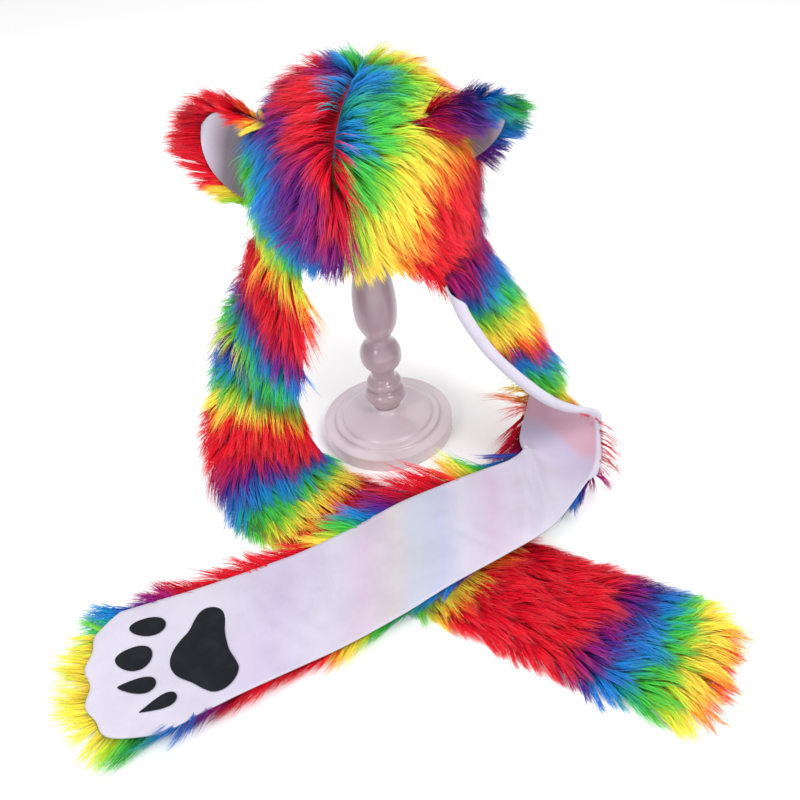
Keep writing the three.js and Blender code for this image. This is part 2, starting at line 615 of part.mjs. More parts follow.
function mainPad(arm) {
  const corners = MAIN_PAD_OUTLINE.map(({ back, across }) => vector(back, across, 0));
  const curve = new THREE.CatmullRomCurve3(corners, true);
  const points = [];
  for (let k = 0; k < PAD_POINTS; k++) {
    const { x, y } = curve.getPoint(k / PAD_POINTS);
    points.push([MAIN_PAD_BACK + x * MAIN_PAD, MAIN_PAD_ACROSS + y * MAIN_PAD]);
  }
  return pad(arm, points);
}

function toePad(arm, { back, across, long, wide, slant }) {
  const points = [];
  for (let k = 0; k < PAD_POINTS; k++) {
    const round = 2 * Math.PI * k / PAD_POINTS;
    const [x, y] = [long / 2 * Math.cos(round), wide / 2 * Math.sin(round)];
    const [c, s] = [Math.cos(radians(slant)), Math.sin(radians(slant))];
    points.push([(back + x * c - y * s) * MAIN_PAD, (across + x * s + y * c) * MAIN_PAD]);
  }
  return pad(arm, points);
}

// An arm's table with its seat on the hood's rim, the run that its centre line has reached at each STEP
// and its whole run.
function armOf(rows, seatAngle, seed) {
  const arm = { rows, seed, runs: [0], seat: cloth(seatAngle, 0).applyMatrix4(HOOD_PLACE) };
  for (let step = 1; step <= Math.round(1 / STEP); step++) {
    const length = armCentre(arm, step * STEP).distanceTo(armCentre(arm, (step - 1) * STEP));
    arm.runs.push(arm.runs[step - 1] + length);
  }
  arm.run = arm.runs[arm.runs.length - 1];
  return arm;
}

// The pads of one paw, named after its side.
function pawPads(arm, side) {
  const pads = [piece(`main_pad_${side}`, mainPad(arm), PAD_CLOTH)];
  TOES.forEach((toe, k) => pads.push(piece(`toe_pad_${side}_${k + 1}`, toePad(arm, toe), PAD_CLOTH)));
  return pads;
}

const hood = new THREE.Group();
hood.applyMatrix4(HOOD_PLACE);
hood.add(
  piece("hood_panel_left", hoodPanel(-1), FUR_RED),
  piece("hood_panel_right", hoodPanel(1), FUR_BLUE),
  piece("hood_lining", hoodLining(), PLUSH),
);
const trim = hoodBlock();
for (const [side, ear] of Object.entries(EARS)) {
  const place = earPlace(ear);
  hood.add(
    piece(`ear_fur_${side}`, cut(earFur().applyMatrix4(place), [trim]), side === "left" ? FUR_RED : FUR_BLUE),
    piece(`ear_lining_${side}`, cut(earLining().applyMatrix4(place), [trim]), PLUSH),
  );
}

const right = armOf(RIGHT_ARM, RIGHT_SEAT, 100);
const left = armOf(LEFT_ARM, LEFT_SEAT, 200);
const hoodTrim = trim.clone().applyMatrix4(HOOD_PLACE);
const footTrim = turned(FOOT, FOOT_RADIUS, FOOT_HEIGHT, CLEARANCE);
const scarf = new THREE.Group();
scarf.add(
  piece("arm_fur_right", cut(armFur(right), [
    hoodTrim, footTrim, armFur(left, CROSSING_GAP), armLining(right, TRIM * CLEARANCE),
  ]), FUR_YELLOW),
  piece("arm_lining_right", cut(armLining(right), [hoodTrim]), PLUSH),
  piece("arm_fur_left", cut(armFur(left), [hoodTrim, footTrim]), FUR_RED),
  piece("arm_lining_left", cut(armLining(left), [hoodTrim]), PLUSH),
  ...pawPads(right, "right"),
  ...pawPads(left, "left"),
);

const object = new THREE.Group();
object.add(hatStand(), hood, scarf);

export default object;
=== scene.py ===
"""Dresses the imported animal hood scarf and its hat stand: plush linings, long rainbow pile, black paw
pads and painted turnings, each piece on the frame's own sizes."""

import math

import bpy
import numpy as np
from bpy.props import FloatProperty, FloatVectorProperty, IntProperty, PointerProperty
from mathutils import Matrix, Vector
from mathutils.kdtree import KDTree


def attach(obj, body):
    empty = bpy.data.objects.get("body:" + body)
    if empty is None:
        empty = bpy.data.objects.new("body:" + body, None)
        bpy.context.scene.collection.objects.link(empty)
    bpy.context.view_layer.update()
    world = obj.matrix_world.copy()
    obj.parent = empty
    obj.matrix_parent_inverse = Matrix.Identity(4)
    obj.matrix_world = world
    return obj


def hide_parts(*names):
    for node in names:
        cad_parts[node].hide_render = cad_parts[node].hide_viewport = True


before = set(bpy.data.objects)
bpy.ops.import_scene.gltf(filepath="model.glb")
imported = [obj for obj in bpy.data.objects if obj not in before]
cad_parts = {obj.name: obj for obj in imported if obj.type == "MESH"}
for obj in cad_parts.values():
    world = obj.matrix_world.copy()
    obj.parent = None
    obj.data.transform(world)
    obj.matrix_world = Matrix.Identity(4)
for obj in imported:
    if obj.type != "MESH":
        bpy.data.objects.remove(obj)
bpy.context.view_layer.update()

bl_info = {
    "name": "Animal Hood Scarf",
    "version": (1, 0, 0),
    "blender": (4, 5, 0),
    "location": "3D View > Sidebar > Hood Scarf",
    "description": "Builds the looks of a rainbow animal hood scarf on its turned hat stand",
    "category": "Add Mesh",
}

MM = 0.001

# The stand's turnings, as shares of a radius and a height, from the bottom up.
FOOT = (
    (0.97, 0), (1, 0.05), (1, 0.4), (0.97, 0.46), (0.83, 0.47), (0.8, 0.56), (0.71, 0.58), (0.66, 0.66),
    (0.42, 0.76), (0.26, 0.88), (0.21, 1),
)
POST = (
    (0.62, 0), (0.84, 0.03), (1, 0.06), (0.88, 0.084), (0.7, 0.096), (0.84, 0.11), (0.8, 0.13),
    (0.56, 0.15), (0.56, 0.175), (0.66, 0.2), (0.85, 0.22), (0.96, 0.245), (0.96, 0.28), (0.84, 0.31),
    (0.62, 0.338), (0.6, 0.36), (0.78, 0.39), (0.94, 0.43), (1, 0.49), (0.96, 0.56), (0.8, 0.64),
    (0.54, 0.7), (0.42, 0.75), (0.42, 1),
)
HEAD = (
    (0.24, 0), (0.74, 0.1), (0.96, 0.28), (1, 0.46), (0.94, 0.66), (0.78, 0.81), (0.5, 0.92), (0.22, 0.975),
)
FOOT_RADIUS, FOOT_HEIGHT = 80 * MM, 41 * MM
POST_RADIUS, POST_HEIGHT = 25 * MM, 289 * MM
HEAD_RADIUS, HEAD_HEIGHT = 65 * MM, 97 * MM
CLEARANCE = 0.3 * MM

# The hood: its rim every 22.5 degrees from the forehead to the nape, its dome and its place.
RIM = np.array([[0.37], [0.355], [0.25], [0.14], [0.125], [0.12], [0.1], [0.03], [0]])
HOOD_WIDTH, HOOD_DEPTH, HOOD_HEIGHT = 196 * MM, 226 * MM, 192 * MM
HOOD_SHIFT, HOOD_TURN, CROWN_SLOPE = 8 * MM, -6, 0.1
DOME_WAIST, DOME_POWER, DOME_TUCK = 0.53, 2.3, 0.04
PARTING = 0.8
LINING_WALL = 2 * MM
HEAD_FOOT = FOOT_HEIGHT + POST_HEIGHT + 2 * CLEARANCE
CROWN = HEAD_FOOT + HEAD_HEIGHT + HOOD_SHIFT * CROWN_SLOPE + CLEARANCE + LINING_WALL
HOOD_PLACE = Matrix.Translation((HOOD_SHIFT, 0, CROWN - HOOD_HEIGHT)) @ Matrix.Rotation(
    math.radians(HOOD_TURN), 4, "Z"
)

# The arms: out, ahead, hang, lift, turn, tip, wide, bow, pile, inner, outer in each row.
RIGHT_ARM = np.array([
    [0, 0, 1, 0, 82, 0, 1, 0.65, 0.8, 0.8, 0.3],
    [0.017, -0.003, 0.88, 0, 78, -4, 1, 0.55, 1, 0.9, 0.1],
    [0.048, -0.009, 0.72, 0, 76, -8, 0.98, 0.55, 1, 0.9, 0.1],
    [0.084, -0.015, 0.55, 0, 84, -10, 0.92, 0.65, 1, 0.8, 0.1],
    [0.114, -0.027, 0.37, 0, 112, -4, 0.84, 0.75, 1, 0.6, 0.2],
    [0.133, -0.047, 0.24, 0, 152, 6, 0.74, 0.75, 1.3, 0.2, 0.4],
    [0.137, -0.079, 0, 2.56, 172, 2, 0.66, 0.65, 1.7, 0, 0.4],
    [0.114, -0.119, 0, 2.44, 156, 0, 0.7, 0.4, 1.6, 0.2, 0.35],
    [0.074, -0.159, 0, 2.44, 136, 0, 0.86, 0.2, 1.2, 0.6, 0.3],
    [0.017, -0.197, 0, 2.5, 124, 0, 0.92, 0.1, 0.65, 0.8, 0.3],
    [-0.046, -0.233, 0, 2.3, 120, 0, 0.96, 0.1, 0.65, 0.9, 0.3],
    [-0.101, -0.263, 0, 1.7, 119, 0, 0.98, 0.1, 0.7, 1, 0.3],
    [-0.168, -0.297, 0, 1.11, 118, 0, 1, 0.1, 0.75, 1, 0.35],
    [-0.23, -0.328, 0, 1, 118, 0, 1.02, 0.1, 0.8, 1, 0.4],
    [-0.286, -0.357, 0, 1, 118, 0, 1.05, 0.1, 0.8, 1, 0.5],
    [-0.338, -0.384, 0, 1, 118, 0, 1.12, 0, 0.8, 1, 0.7],
    [-0.383, -0.407, 0, 1, 118, 0, 1.17, 0, 0.8, 1, 0.9],
    [-0.416, -0.421, 0, 1, 118, 0, 1.17, 0, 0.8, 1, 1],
])
LEFT_ARM = np.array([
    [0, 0, 1, 0, -61, 0, 1, 0.55, 0.8, 0.8, 0.8],
    [-0.01, -0.014, 0.86, 0, -55, 0, 1, 0.45, 1, 0.7, 0.8],
    [-0.025, -0.026, 0.71, 0, -45, 0, 0.98, 0.45, 1, 0.6, 0.7],
    [-0.04, -0.042, 0.56, 0, -33, 4, 0.94, 0.35, 1, 0.4, 0.6],
    [-0.05, -0.059, 0.41, 0, -16, 10, 0.9, 0.35, 1, 0.3, 0.5],
    [-0.055, -0.071, 0.26, 0, 8, 18, 0.88, 0.35, 1, 0.2, 0.4],
    [-0.045, -0.089, 0, 1.83, 34, 18, 0.88, 0.35, 0.9, 0.2, 0.4],
    [-0.017, -0.109, 0, 0.72, 54, 8, 0.9, 0.2, 0.8, 0.3, 0.5],
    [0.034, -0.132, 0, 0.17, 64, 0, 0.92, 0, 0.55, 0.6, 0.6],
    [0.09, -0.16, 0, 0.17, 64, 0, 0.94, 0, 0.45, 0.8, 0.5],
    [0.148, -0.189, 0, 0.17, 63, 0, 0.96, 0, 0.5, 0.8, 0.4],
    [0.24, -0.237, 0, 0.17, 62, 0, 0.96, 0, 0.55, 0.8, 0.4],
    [0.335, -0.284, 0, 0.17, 62, 0, 0.97, 0, 0.9, 0.7, 0.4],
    [0.403, -0.316, 0, 0.17, 63, 0, 0.98, 0, 1, 0.7, 0.4],
    [0.46, -0.344, 0, 0.17, 65, 0, 1, 0, 1, 0.6, 0.4],
    [0.505, -0.362, 0, 0.17, 66, 0, 1, 0, 1, 0.6, 0.4],
    [0.535, -0.376, 0, 0.17, 67, 0, 1, 0, 1, 0.5, 0.4],
])
RIGHT_SEAT, LEFT_SEAT = 78, -63
ARM_LENGTH, SCARF_WIDTH = 800 * MM, 126 * MM
PAW_ROUND, TOE_NOTCH, PAW_RUN = 34 * MM, 5 * MM, 90 * MM
LYING = 18 * MM

# Where a dent draws an arm's inner edge in, and how a paw's outer corner is cut back.
DENT_RUN, DENT_SPAN, CUT_START, CUT_POWER = 0.132, 0.02, 0.3, 1.5

# The ears, in degrees: where on the hood, how high as a share of its height, where the tip points and
# how the cup rolls about that line.
EARS = {
    "left": dict(angle=-63, rise=0.66, point=184, up=30, roll=0),
    "right": dict(angle=72, rise=0.77, point=4, up=18, roll=40),
}
EAR_LENGTH, EAR_WIDTH, EAR_CUP, EAR_ROOT = 62 * MM, 80 * MM, 17 * MM, 34 * MM
EAR_NECK, EAR_POWER, EAR_ROOTS = 40 * MM, 2.4, 3.2 * MM
CUP_CLEAR, FUR_CLEAR = 11 * MM, 7 * MM

# The ears' pile: its upper edge's side, the share of strands that hangs there over the cup and on how wide
# a band, how it is brushed, its lengths as shares, its dye by millimetres along the ear, its backing's dye.
EAR_PILE = {
    "left": dict(
        top=-1, hanging=0.08, band=0.05, wide=1.0, inward=0.25, length=0.85, low_length=0.5,
        dye=((-5, 8, 20, 32, 60), (0.36, 0.24, 0.12, 0.01, -0.02)), backing=(0.3, 0),
    ),
    "right": dict(
        top=1, hanging=0.45, band=0.14, wide=0.3, inward=0.85, length=0.9, low_length=0.9,
        dye=((-5, 8, 18, 38, 48, 58, 70), (0.95, 0.86, 0.77, 0.7, 0.58, 0.5, 0.4)), backing=(0.9, 0.66),
    ),
}


def unit(v):
    return v / np.maximum(np.linalg.norm(v, axis=-1, keepdims=True), 1e-12)


def placed(matrix, points):
    m = np.array(matrix)
    return points @ m[:3, :3].T + m[:3, 3]


def read(rows, share):
    """All columns of a table between its rows, on a smooth curve."""
    place = np.clip(share, 0, 1) * (len(rows) - 1)
    row = np.minimum(place.astype(int), len(rows) - 2)
    w = (place - row)[..., None]
    grown = np.vstack([2 * rows[0] - rows[1], rows, 2 * rows[-1] - rows[-2]])
    a, b, c, d = (grown[row + k] for k in range(4))
    return b + 0.5 * w * (c - a + w * (2 * a - 5 * b + 4 * c - d + w * (3 * (b - c) + d - a)))


def dome(rise, least=0):
    """How full the hood is at a share of its height: it narrows above its waist."""
    above = np.maximum(rise - DOME_WAIST, 0) / (1 - DOME_WAIST)
    return np.maximum(1 - above**DOME_POWER, least) ** (1 / DOME_POWER)


def cloth(angle, share, off=0.0):
    """A point on the hood's cloth, off it along its normal. angle is in degrees round from the seam in
    front and share runs from the rim to the crown."""
    def skin(angle, share):
        rim = read(RIM, np.abs(angle) / 180)[..., 0]
        rise = rim + (1 - rim) * np.sin(share * math.pi / 2)
        below = np.maximum(DOME_WAIST - rise, 0) / DOME_WAIST
        full = dome(rise) * (1 - DOME_TUCK * below**2)
        turn = np.radians(angle)
        return np.stack([
            HOOD_WIDTH / 2 * full * np.sin(turn), -HOOD_DEPTH / 2 * full * np.cos(turn), rise * HOOD_HEIGHT,
        ], -1)
    step = 0.002
    share = np.minimum(share, 1 - 2 * step)
    point = skin(angle, share)
    round_it = skin(angle + 1, share) - skin(angle - 1, share)
    normal = unit(np.cross(round_it, skin(angle, share + step) - skin(angle, share - step)))
    turn = np.array(HOOD_PLACE.to_3x3())
    point, normal = placed(HOOD_PLACE, point), normal @ turn.T
    return point + normal * np.asarray(off)[..., None], normal


class Arm:
    """A scarf arm as a ribbon: points and directions by the run from its seat and aside from its middle."""

    def __init__(self, rows, seat_angle, dent=0.0, cut=0.0):
        seat = cloth(np.array([seat_angle * 1.0]), np.array([0.0]))[0][0]
        share = np.linspace(0, 1, 1501)
        row = read(rows, share)
        centre = np.stack([
            seat[0] + row[:, 0] * ARM_LENGTH, seat[1] + row[:, 1] * ARM_LENGTH,
            row[:, 2] * seat[2] + row[:, 3] * LYING,
        ], 1)
        along = unit(np.gradient(centre, axis=0))
        turn, tip = np.radians(row[:, 4]), np.radians(row[:, 5])
        across = np.stack([np.cos(turn) * np.cos(tip), np.sin(turn) * np.cos(tip), np.sin(tip)], 1)
        across = unit(across - along * (across * along).sum(1, keepdims=True))
        self.runs = np.r_[0, np.cumsum(np.linalg.norm(np.diff(centre, axis=0), axis=1))]
        self.run = self.runs[-1]
        self.dent, self.cut = dent, cut
        self.lines = np.hstack([centre, along, across, np.cross(along, across), row[:, 6:]])

    def at(self, run):
        within = np.clip(run, 0, self.run)
        line = np.stack([np.interp(within, self.runs, column) for column in self.lines.T], -1)
        centre, along, across, out = (line[..., k:k + 3] for k in (0, 3, 6, 9))
        centre = centre + along * (run - within)[..., None]
        wide, bow, pile, inner, outer = (line[..., k] for k in range(12, 17))
        return dict(centre=centre, along=along, across=across, out=out, half=wide * SCARF_WIDTH / 2,
                    bow=bow, pile=pile, inner=inner, outer=outer)

    def point(self, run, aside, off):
        at = self.at(run)
        bow = at["bow"] * LYING * np.maximum(1 - (aside / at["half"]) ** 2, 0)
        share = np.clip(aside / at["half"], 0, 1)
        drawn = self.dent * np.exp(-(((run - DENT_RUN) / DENT_SPAN) ** 2)) * share**2
        aside = aside - drawn
        return at["centre"] + at["across"] * aside[..., None] + at["out"] * (bow + off)[..., None]

    def paw(self, run, across):
        """The run of a net's point, drawn back at the end of the paw to its rounded and notched outline."""
        back = PAW_ROUND * across**4 + TOE_NOTCH * np.cos(2 * math.pi * across) ** 2
        cut = np.clip(-across - CUT_START, 0, 1 - CUT_START) / (1 - CUT_START)
        back = back + self.cut * cut**CUT_POWER
        return run - back * np.maximum(run - self.run + PAW_RUN, 0) / PAW_RUN


RIGHT = Arm(RIGHT_ARM, RIGHT_SEAT, cut=13 * MM)
LEFT = Arm(LEFT_ARM, LEFT_SEAT, dent=11 * MM)


# Bands of the dye along the two edges of each arm: run in millimetres against the phase of the rainbow,
# which falls by one each time the colours come round. The left arm's bands start anew under a fold.
RIGHT_OUTER = np.array([
    (-20, 0.9), (0, 0.8), (10, 0.62), (25, 0.45), (40, 0.33), (60, 0.2), (72, 0.05), (80, -0.2), (95, -0.4),
    (120, -0.52), (140, -0.6), (165, -0.7), (190, -0.8), (210, -0.93), (230, -1), (260, -1.08),
    (280, -1.25), (310, -1.42), (335, -1.6), (360, -1.8), (390, -2), (430, -2.25), (465, -2.43),
    (530, -2.6), (560, -2.8), (593, -3), (645, -3), (673, -3.07), (697, -3.25), (722, -3.43), (765, -3.6),
    (800, -3.8),
])
RIGHT_INNER = np.array([
    (0, 0.7), (40, 0.55), (60, 0.47), (80, 0.33), (100, 0.22), (120, 0.17), (135, 0.07), (150, 0),
    (158, -0.25), (170, -0.42), (185, -0.6), (195, -0.8), (215, -1), (245, -1.1), (262, -1.25),
    (325, -1.43), (350, -1.6), (375, -1.8), (390, -1.92), (410, -2), (430, -2), (450, -2.07), (470, -2.25),
    (495, -2.43), (520, -2.6), (545, -2.8), (570, -2.97), (680, -3.03), (727, -3.25), (757, -3.43),
    (783, -3.6), (805, -3.8),
])
LEFT_UPPER_OUTER = np.array([
    (-20, 0), (20, 0), (45, -0.25), (60, -0.43), (80, -0.6), (95, -0.72), (110, -0.84),
])
LEFT_UPPER_INNER = np.array([
    (-20, 0.4), (0, 0.2), (15, 0.05), (30, 0), (55, 0), (68, -0.15), (80, -0.25), (100, -0.43),
    (120, -0.55), (135, -0.63),
])
LEFT_OUTER = np.array([
    (95, -1.12), (108, -1.25), (128, -1.43), (152, -1.6), (168, -1.8), (190, -2), (215, -2), (230, -2.08),
    (245, -2.25), (262, -2.43), (285, -2.6), (305, -2.8), (330, -3), (380, -3.25), (420, -3.43),
    (483, -3.6), (503, -3.8), (530, -4), (628, -4), (642, -4.12), (660, -4.25), (690, -4.43), (718, -4.6),
    (745, -4.8), (785, -4.9), (812, -5),
])
LEFT_INNER = np.array([
    (115, -1.48), (130, -1.6), (142, -1.8), (165, -2), (200, -2), (222, -2.25), (250, -2.43), (285, -2.6),
    (310, -2.8), (340, -3), (380, -3.25), (420, -3.43), (470, -3.6), (510, -3.8), (550, -4), (650, -4),
    (662, -4.08), (682, -4.25), (713, -4.43), (738, -4.6), (765, -4.8), (795, -4.92), (820, -5),
])
FOLD_RUN, FOLD_SLANT = 101 * MM, 12 * MM

# How finely a band's map is worked out: its phases, its levels across and its runs in millimetres.
BAND_PHASES, BAND_LEVELS, BAND_START, BAND_END = 600, 48, -40.0, 840.0


def band(outer, inner, run, across):
    """Phase at places on an arm. Its bands run straight from one edge's table to the other's."""
    phases = np.linspace(max(outer[0, 1], inner[0, 1]), min(outer[-1, 1], inner[-1, 1]), BAND_PHASES)
    ends = [np.interp(-phases, -table[:, 1], table[:, 0]) for table in (outer, inner)]
    runs = np.arange(BAND_START, BAND_END)
    looked = np.array([
        np.interp(runs, ends[0] * (1 - far) + ends[1] * far, phases)
        for far in np.linspace(0, 1, BAND_LEVELS + 1)
    ])
    place = np.clip((across + 1) / 2, 0, 1) * BAND_LEVELS
    low = np.minimum(place.astype(int), BAND_LEVELS - 1)
    column = np.clip(np.round(run / MM) - BAND_START, 0, len(runs) - 1).astype(int)
    return looked[low, column] * (low + 1 - place) + looked[low + 1, column] * (place - low)


def right_phase(run, across):
    return band(RIGHT_OUTER, RIGHT_INNER, run, across)


def past_fold(run, across):
    return run - FOLD_RUN - FOLD_SLANT * (across + 1)


def left_phase(run, across):
    upper = band(LEFT_UPPER_OUTER, LEFT_UPPER_INNER, run, across)
    return np.where(past_fold(run, across) < 0, upper, band(LEFT_OUTER, LEFT_INNER, run, across))


# Marks of the dye on each hood panel: degrees round from the seam, share up to the crown, and phase.
RIGHT_MARKS = np.array([
    (2, 0.95, 0.57), (1, 0.83, 0.57), (30, 0.91, 0.57), (4, 0.65, 0.57), (7, 0.56, 0.57), (70, 0.92, 0.48),
    (14, 0.77, 0.48), (63, 0.83, 0.39), (22, 0.61, 0.39), (35, 0.71, 0.39), (111, 0.87, 0.34),
    (13, 0.46, 0.39), (11, 0.35, 0.39), (7, 0.2, 0.39), (84, 0.78, 0.29), (39, 0.59, 0.29),
    (23, 0.41, 0.29), (15, 0.29, 0.27), (71, 0.71, 0.2), (55, 0.61, 0.2), (38, 0.48, 0.2), (33, 0.36, 0.2),
    (20, 0.22, 0.2), (17, 0.1, 0.2), (11, 0.02, 0.2), (62, 0.55, 0.1), (55, 0.47, 0.1), (45, 0.4, 0.08),
    (37, 0.27, 0.08), (27, 0.12, 0.1), (66, 0.41, 0), (54, 0.31, 0), (49, 0.2, 0), (45, 0.09, 0),
    (58, 0.02, 0), (76, 0.28, 0), (83, 0.19, -0.1), (83, 0.32, -0.08), (97, 0.18, -0.24), (97, 0.08, -0.28),
    (80, 0, -0.24), (105, 0.03, -0.42), (115, 0.02, -0.6), (125, 0.85, 0.2), (110, 0.6, 0.02),
    (160, 0.93, 0.28), (150, 0.75, 0.05), (130, 0.45, -0.2), (130, 0.2, -0.55), (130, 0, -0.8),
    (165, 0.5, -0.3), (165, 0.25, -0.7), (165, 0, -1),
])
LEFT_MARKS = np.array([
    (123, 0.81, 1), (105, 0.75, 1), (41, 0.82, 1), (16, 0.71, 1), (4, 0.63, 1), (13, 0.59, 0.98),
    (1, 0.44, 1), (1, 0.33, 1), (1, 0.24, 0.95), (50, 0.76, 0.95), (16, 0.52, 0.86), (4, 0.34, 0.88),
    (42, 0.65, 0.76), (18, 0.48, 0.76), (11, 0.39, 0.76), (7, 0.3, 0.77), (10, 0.19, 0.76), (7, 0.09, 0.76),
    (3, 0.01, 0.76), (1, 0.14, 0.82), (72, 0.63, 0.67), (29, 0.5, 0.67), (24, 0.33, 0.67), (24, 0.2, 0.67),
    (21, 0.06, 0.67), (46, 0.53, 0.57), (35, 0.41, 0.57), (31, 0.29, 0.57), (32, 0.17, 0.53), (28, 0, 0.44),
    (14, 0, 0.54), (50, 0.44, 0.4), (50, 0.34, 0.37), (44, 0.19, 0.32), (39, 0.06, 0.29), (22, 0, 0.44),
    (61, 0.11, 0.14), (60, 0, 0.1), (75, 0.45, 0.36), (75, 0.3, 0.18), (85, 0.3, 0.1), (85, 0.05, 0),
    (100, 0.6, 0.5), (100, 0.4, 0.2), (105, 0.2, -0.05), (130, 0.6, 0.6), (130, 0.35, 0.1),
    (130, 0.1, -0.3), (165, 0.9, 0.4), (165, 0.75, 0.8), (165, 0.5, 0.4), (165, 0.25, 0), (165, 0, -0.3),
])
MARK_LIFT, MARK_SOFT, MARK_POWER = 10 * MM, 7 * MM, -2.2


def hood_phase(side, points):
    """Phase of the dye at places on a hood panel, from the marks nearest to them."""
    marks = RIGHT_MARKS if side > 0 else LEFT_MARKS
    seen = cloth(side * marks[:, 0], marks[:, 1], np.full(len(marks), MARK_LIFT))[0]
    flat = points.reshape(-1, 3)
    total, weights = np.zeros(len(flat)), np.zeros(len(flat))
    for place, phase in zip(seen, marks[:, 2]):
        weight = (((flat - place) ** 2).sum(-1) + MARK_SOFT**2) ** MARK_POWER
        total += weight * phase
        weights += weight
    return (total / weights).reshape(points.shape[:-1])


def nothing_selected():
    bpy.ops.object.select_all(action="DESELECT")


def pick(obj):
    """Makes an object the only one selected and the active one."""
    nothing_selected()
    obj.select_set(True)
    bpy.context.view_layer.objects.active = obj


def finished(obj, name, material, node_slot, *replaced):
    """Names a piece, gives it its finish and its part of the frame, and leaves its place in its mesh."""
    pick(obj)
    bpy.ops.object.transform_apply(location=True, rotation=True, scale=True)
    obj.name = obj.data.name = name
    obj.data.materials.clear()
    obj.data.materials.append(material)
    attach(obj, "root")
    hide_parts(*replaced)
    return obj


def spots(obj):
    """Places of all points of a mesh."""
    flat = np.empty(len(obj.data.vertices) * 3)
    obj.data.vertices.foreach_get("co", flat)
    return flat.reshape(-1, 3)


def laid(obj, points):
    obj.data.vertices.foreach_set("co", points.ravel())
    obj.data.update()
    return obj


def grid_on(place, columns, rows):
    """A grid primitive laid on a surface: place takes shares from -1 to 1 and gives points."""
    nothing_selected()
    bpy.ops.mesh.primitive_grid_add(x_subdivisions=columns, y_subdivisions=rows, size=2)
    obj = bpy.context.object
    flat = spots(obj)
    return laid(obj, place(flat[:, 0], flat[:, 1]))


def edited(obj, operator, **settings):
    """Runs an operator of edit mode on the whole of a mesh."""
    pick(obj)
    bpy.ops.object.mode_set(mode="EDIT")
    bpy.ops.mesh.select_all(action="SELECT")
    operator(**settings)
    bpy.ops.object.mode_set(mode="OBJECT")
    return obj


def walled(obj):
    """Gives a laid sheet its thickness behind the face that shows."""
    pick(obj)
    wall = obj.modifiers.new("wall", "SOLIDIFY")
    wall.thickness, wall.offset = LINING_WALL, -1
    bpy.ops.object.modifier_apply(modifier=wall.name)
    bpy.ops.object.shade_smooth()
    return obj


# Strands of the pile

# Steps of a ribbon along its strand, its width at each, and how the bake map holds phases and shades.
STEPS = np.array([0.0, 0.36, 0.7, 1.0])
TAPER = np.array([1.0, 0.92, 0.6, 0.0])
MAP_PHASES, MAP_START, MAP_EDGE, SHADES = 1.5, 0.25, 0.003, 4
# The backing lies in the darkest band at the roots: painted shade between the strands.
ROOT_V, RUN_V, FOLD_SHADOW_DEPTH, BACKING_WAVE, BACKING_V = 0.02, 0.96, 0.93, 0.002, (0.01, 0.02)

# How locks differ from each other, and strands inside a lock, as spans or as spreads round nought.
LOCK_LEAN, LOCK_LIFT, LOCK_LENGTH, LOCK_TINT, LOCK_CURL = 7.0, (0.75, 1.2), (0.78, 1.1), 0.012, 0.09
OWN_LENGTH, OWN_RISE, OWN_STRAY, OWN_ROLL = (0.72, 1.05), 0.05, 0.045, 0.65
OWN_WIDTH, OWN_TINT, OWN_SHADE = (0.7, 1.25), 0.008, 0.4
LEAST_RISE, MOST_RISE, FLOOR_GAP, BEND, SLUMP = 0.04, 0.95, 0.4 * MM, 1.15, 1.8


def turned_about(v, axis, angle):
    c, s = np.cos(angle)[..., None], np.sin(angle)[..., None]
    return v * c + np.cross(axis, v) * s + axis * (v * axis).sum(-1, keepdims=True) * (1 - c)


def path_of(guide, length, rise, sag, t):
    """Where strands have got to at the share t of their length, from their roots: they stand up from the
    backing, lean over the way the pile is brushed and sag a little."""
    forward = np.sqrt(np.maximum(1 - rise**2, 0.1)) * t**BEND
    up = rise * (1 - (1 - t) ** SLUMP)
    step = guide["flow"] * (length * forward)[:, None] + guide["normal"] * (length * up)[:, None]
    step[:, 2] -= sag * length * t**2
    return step


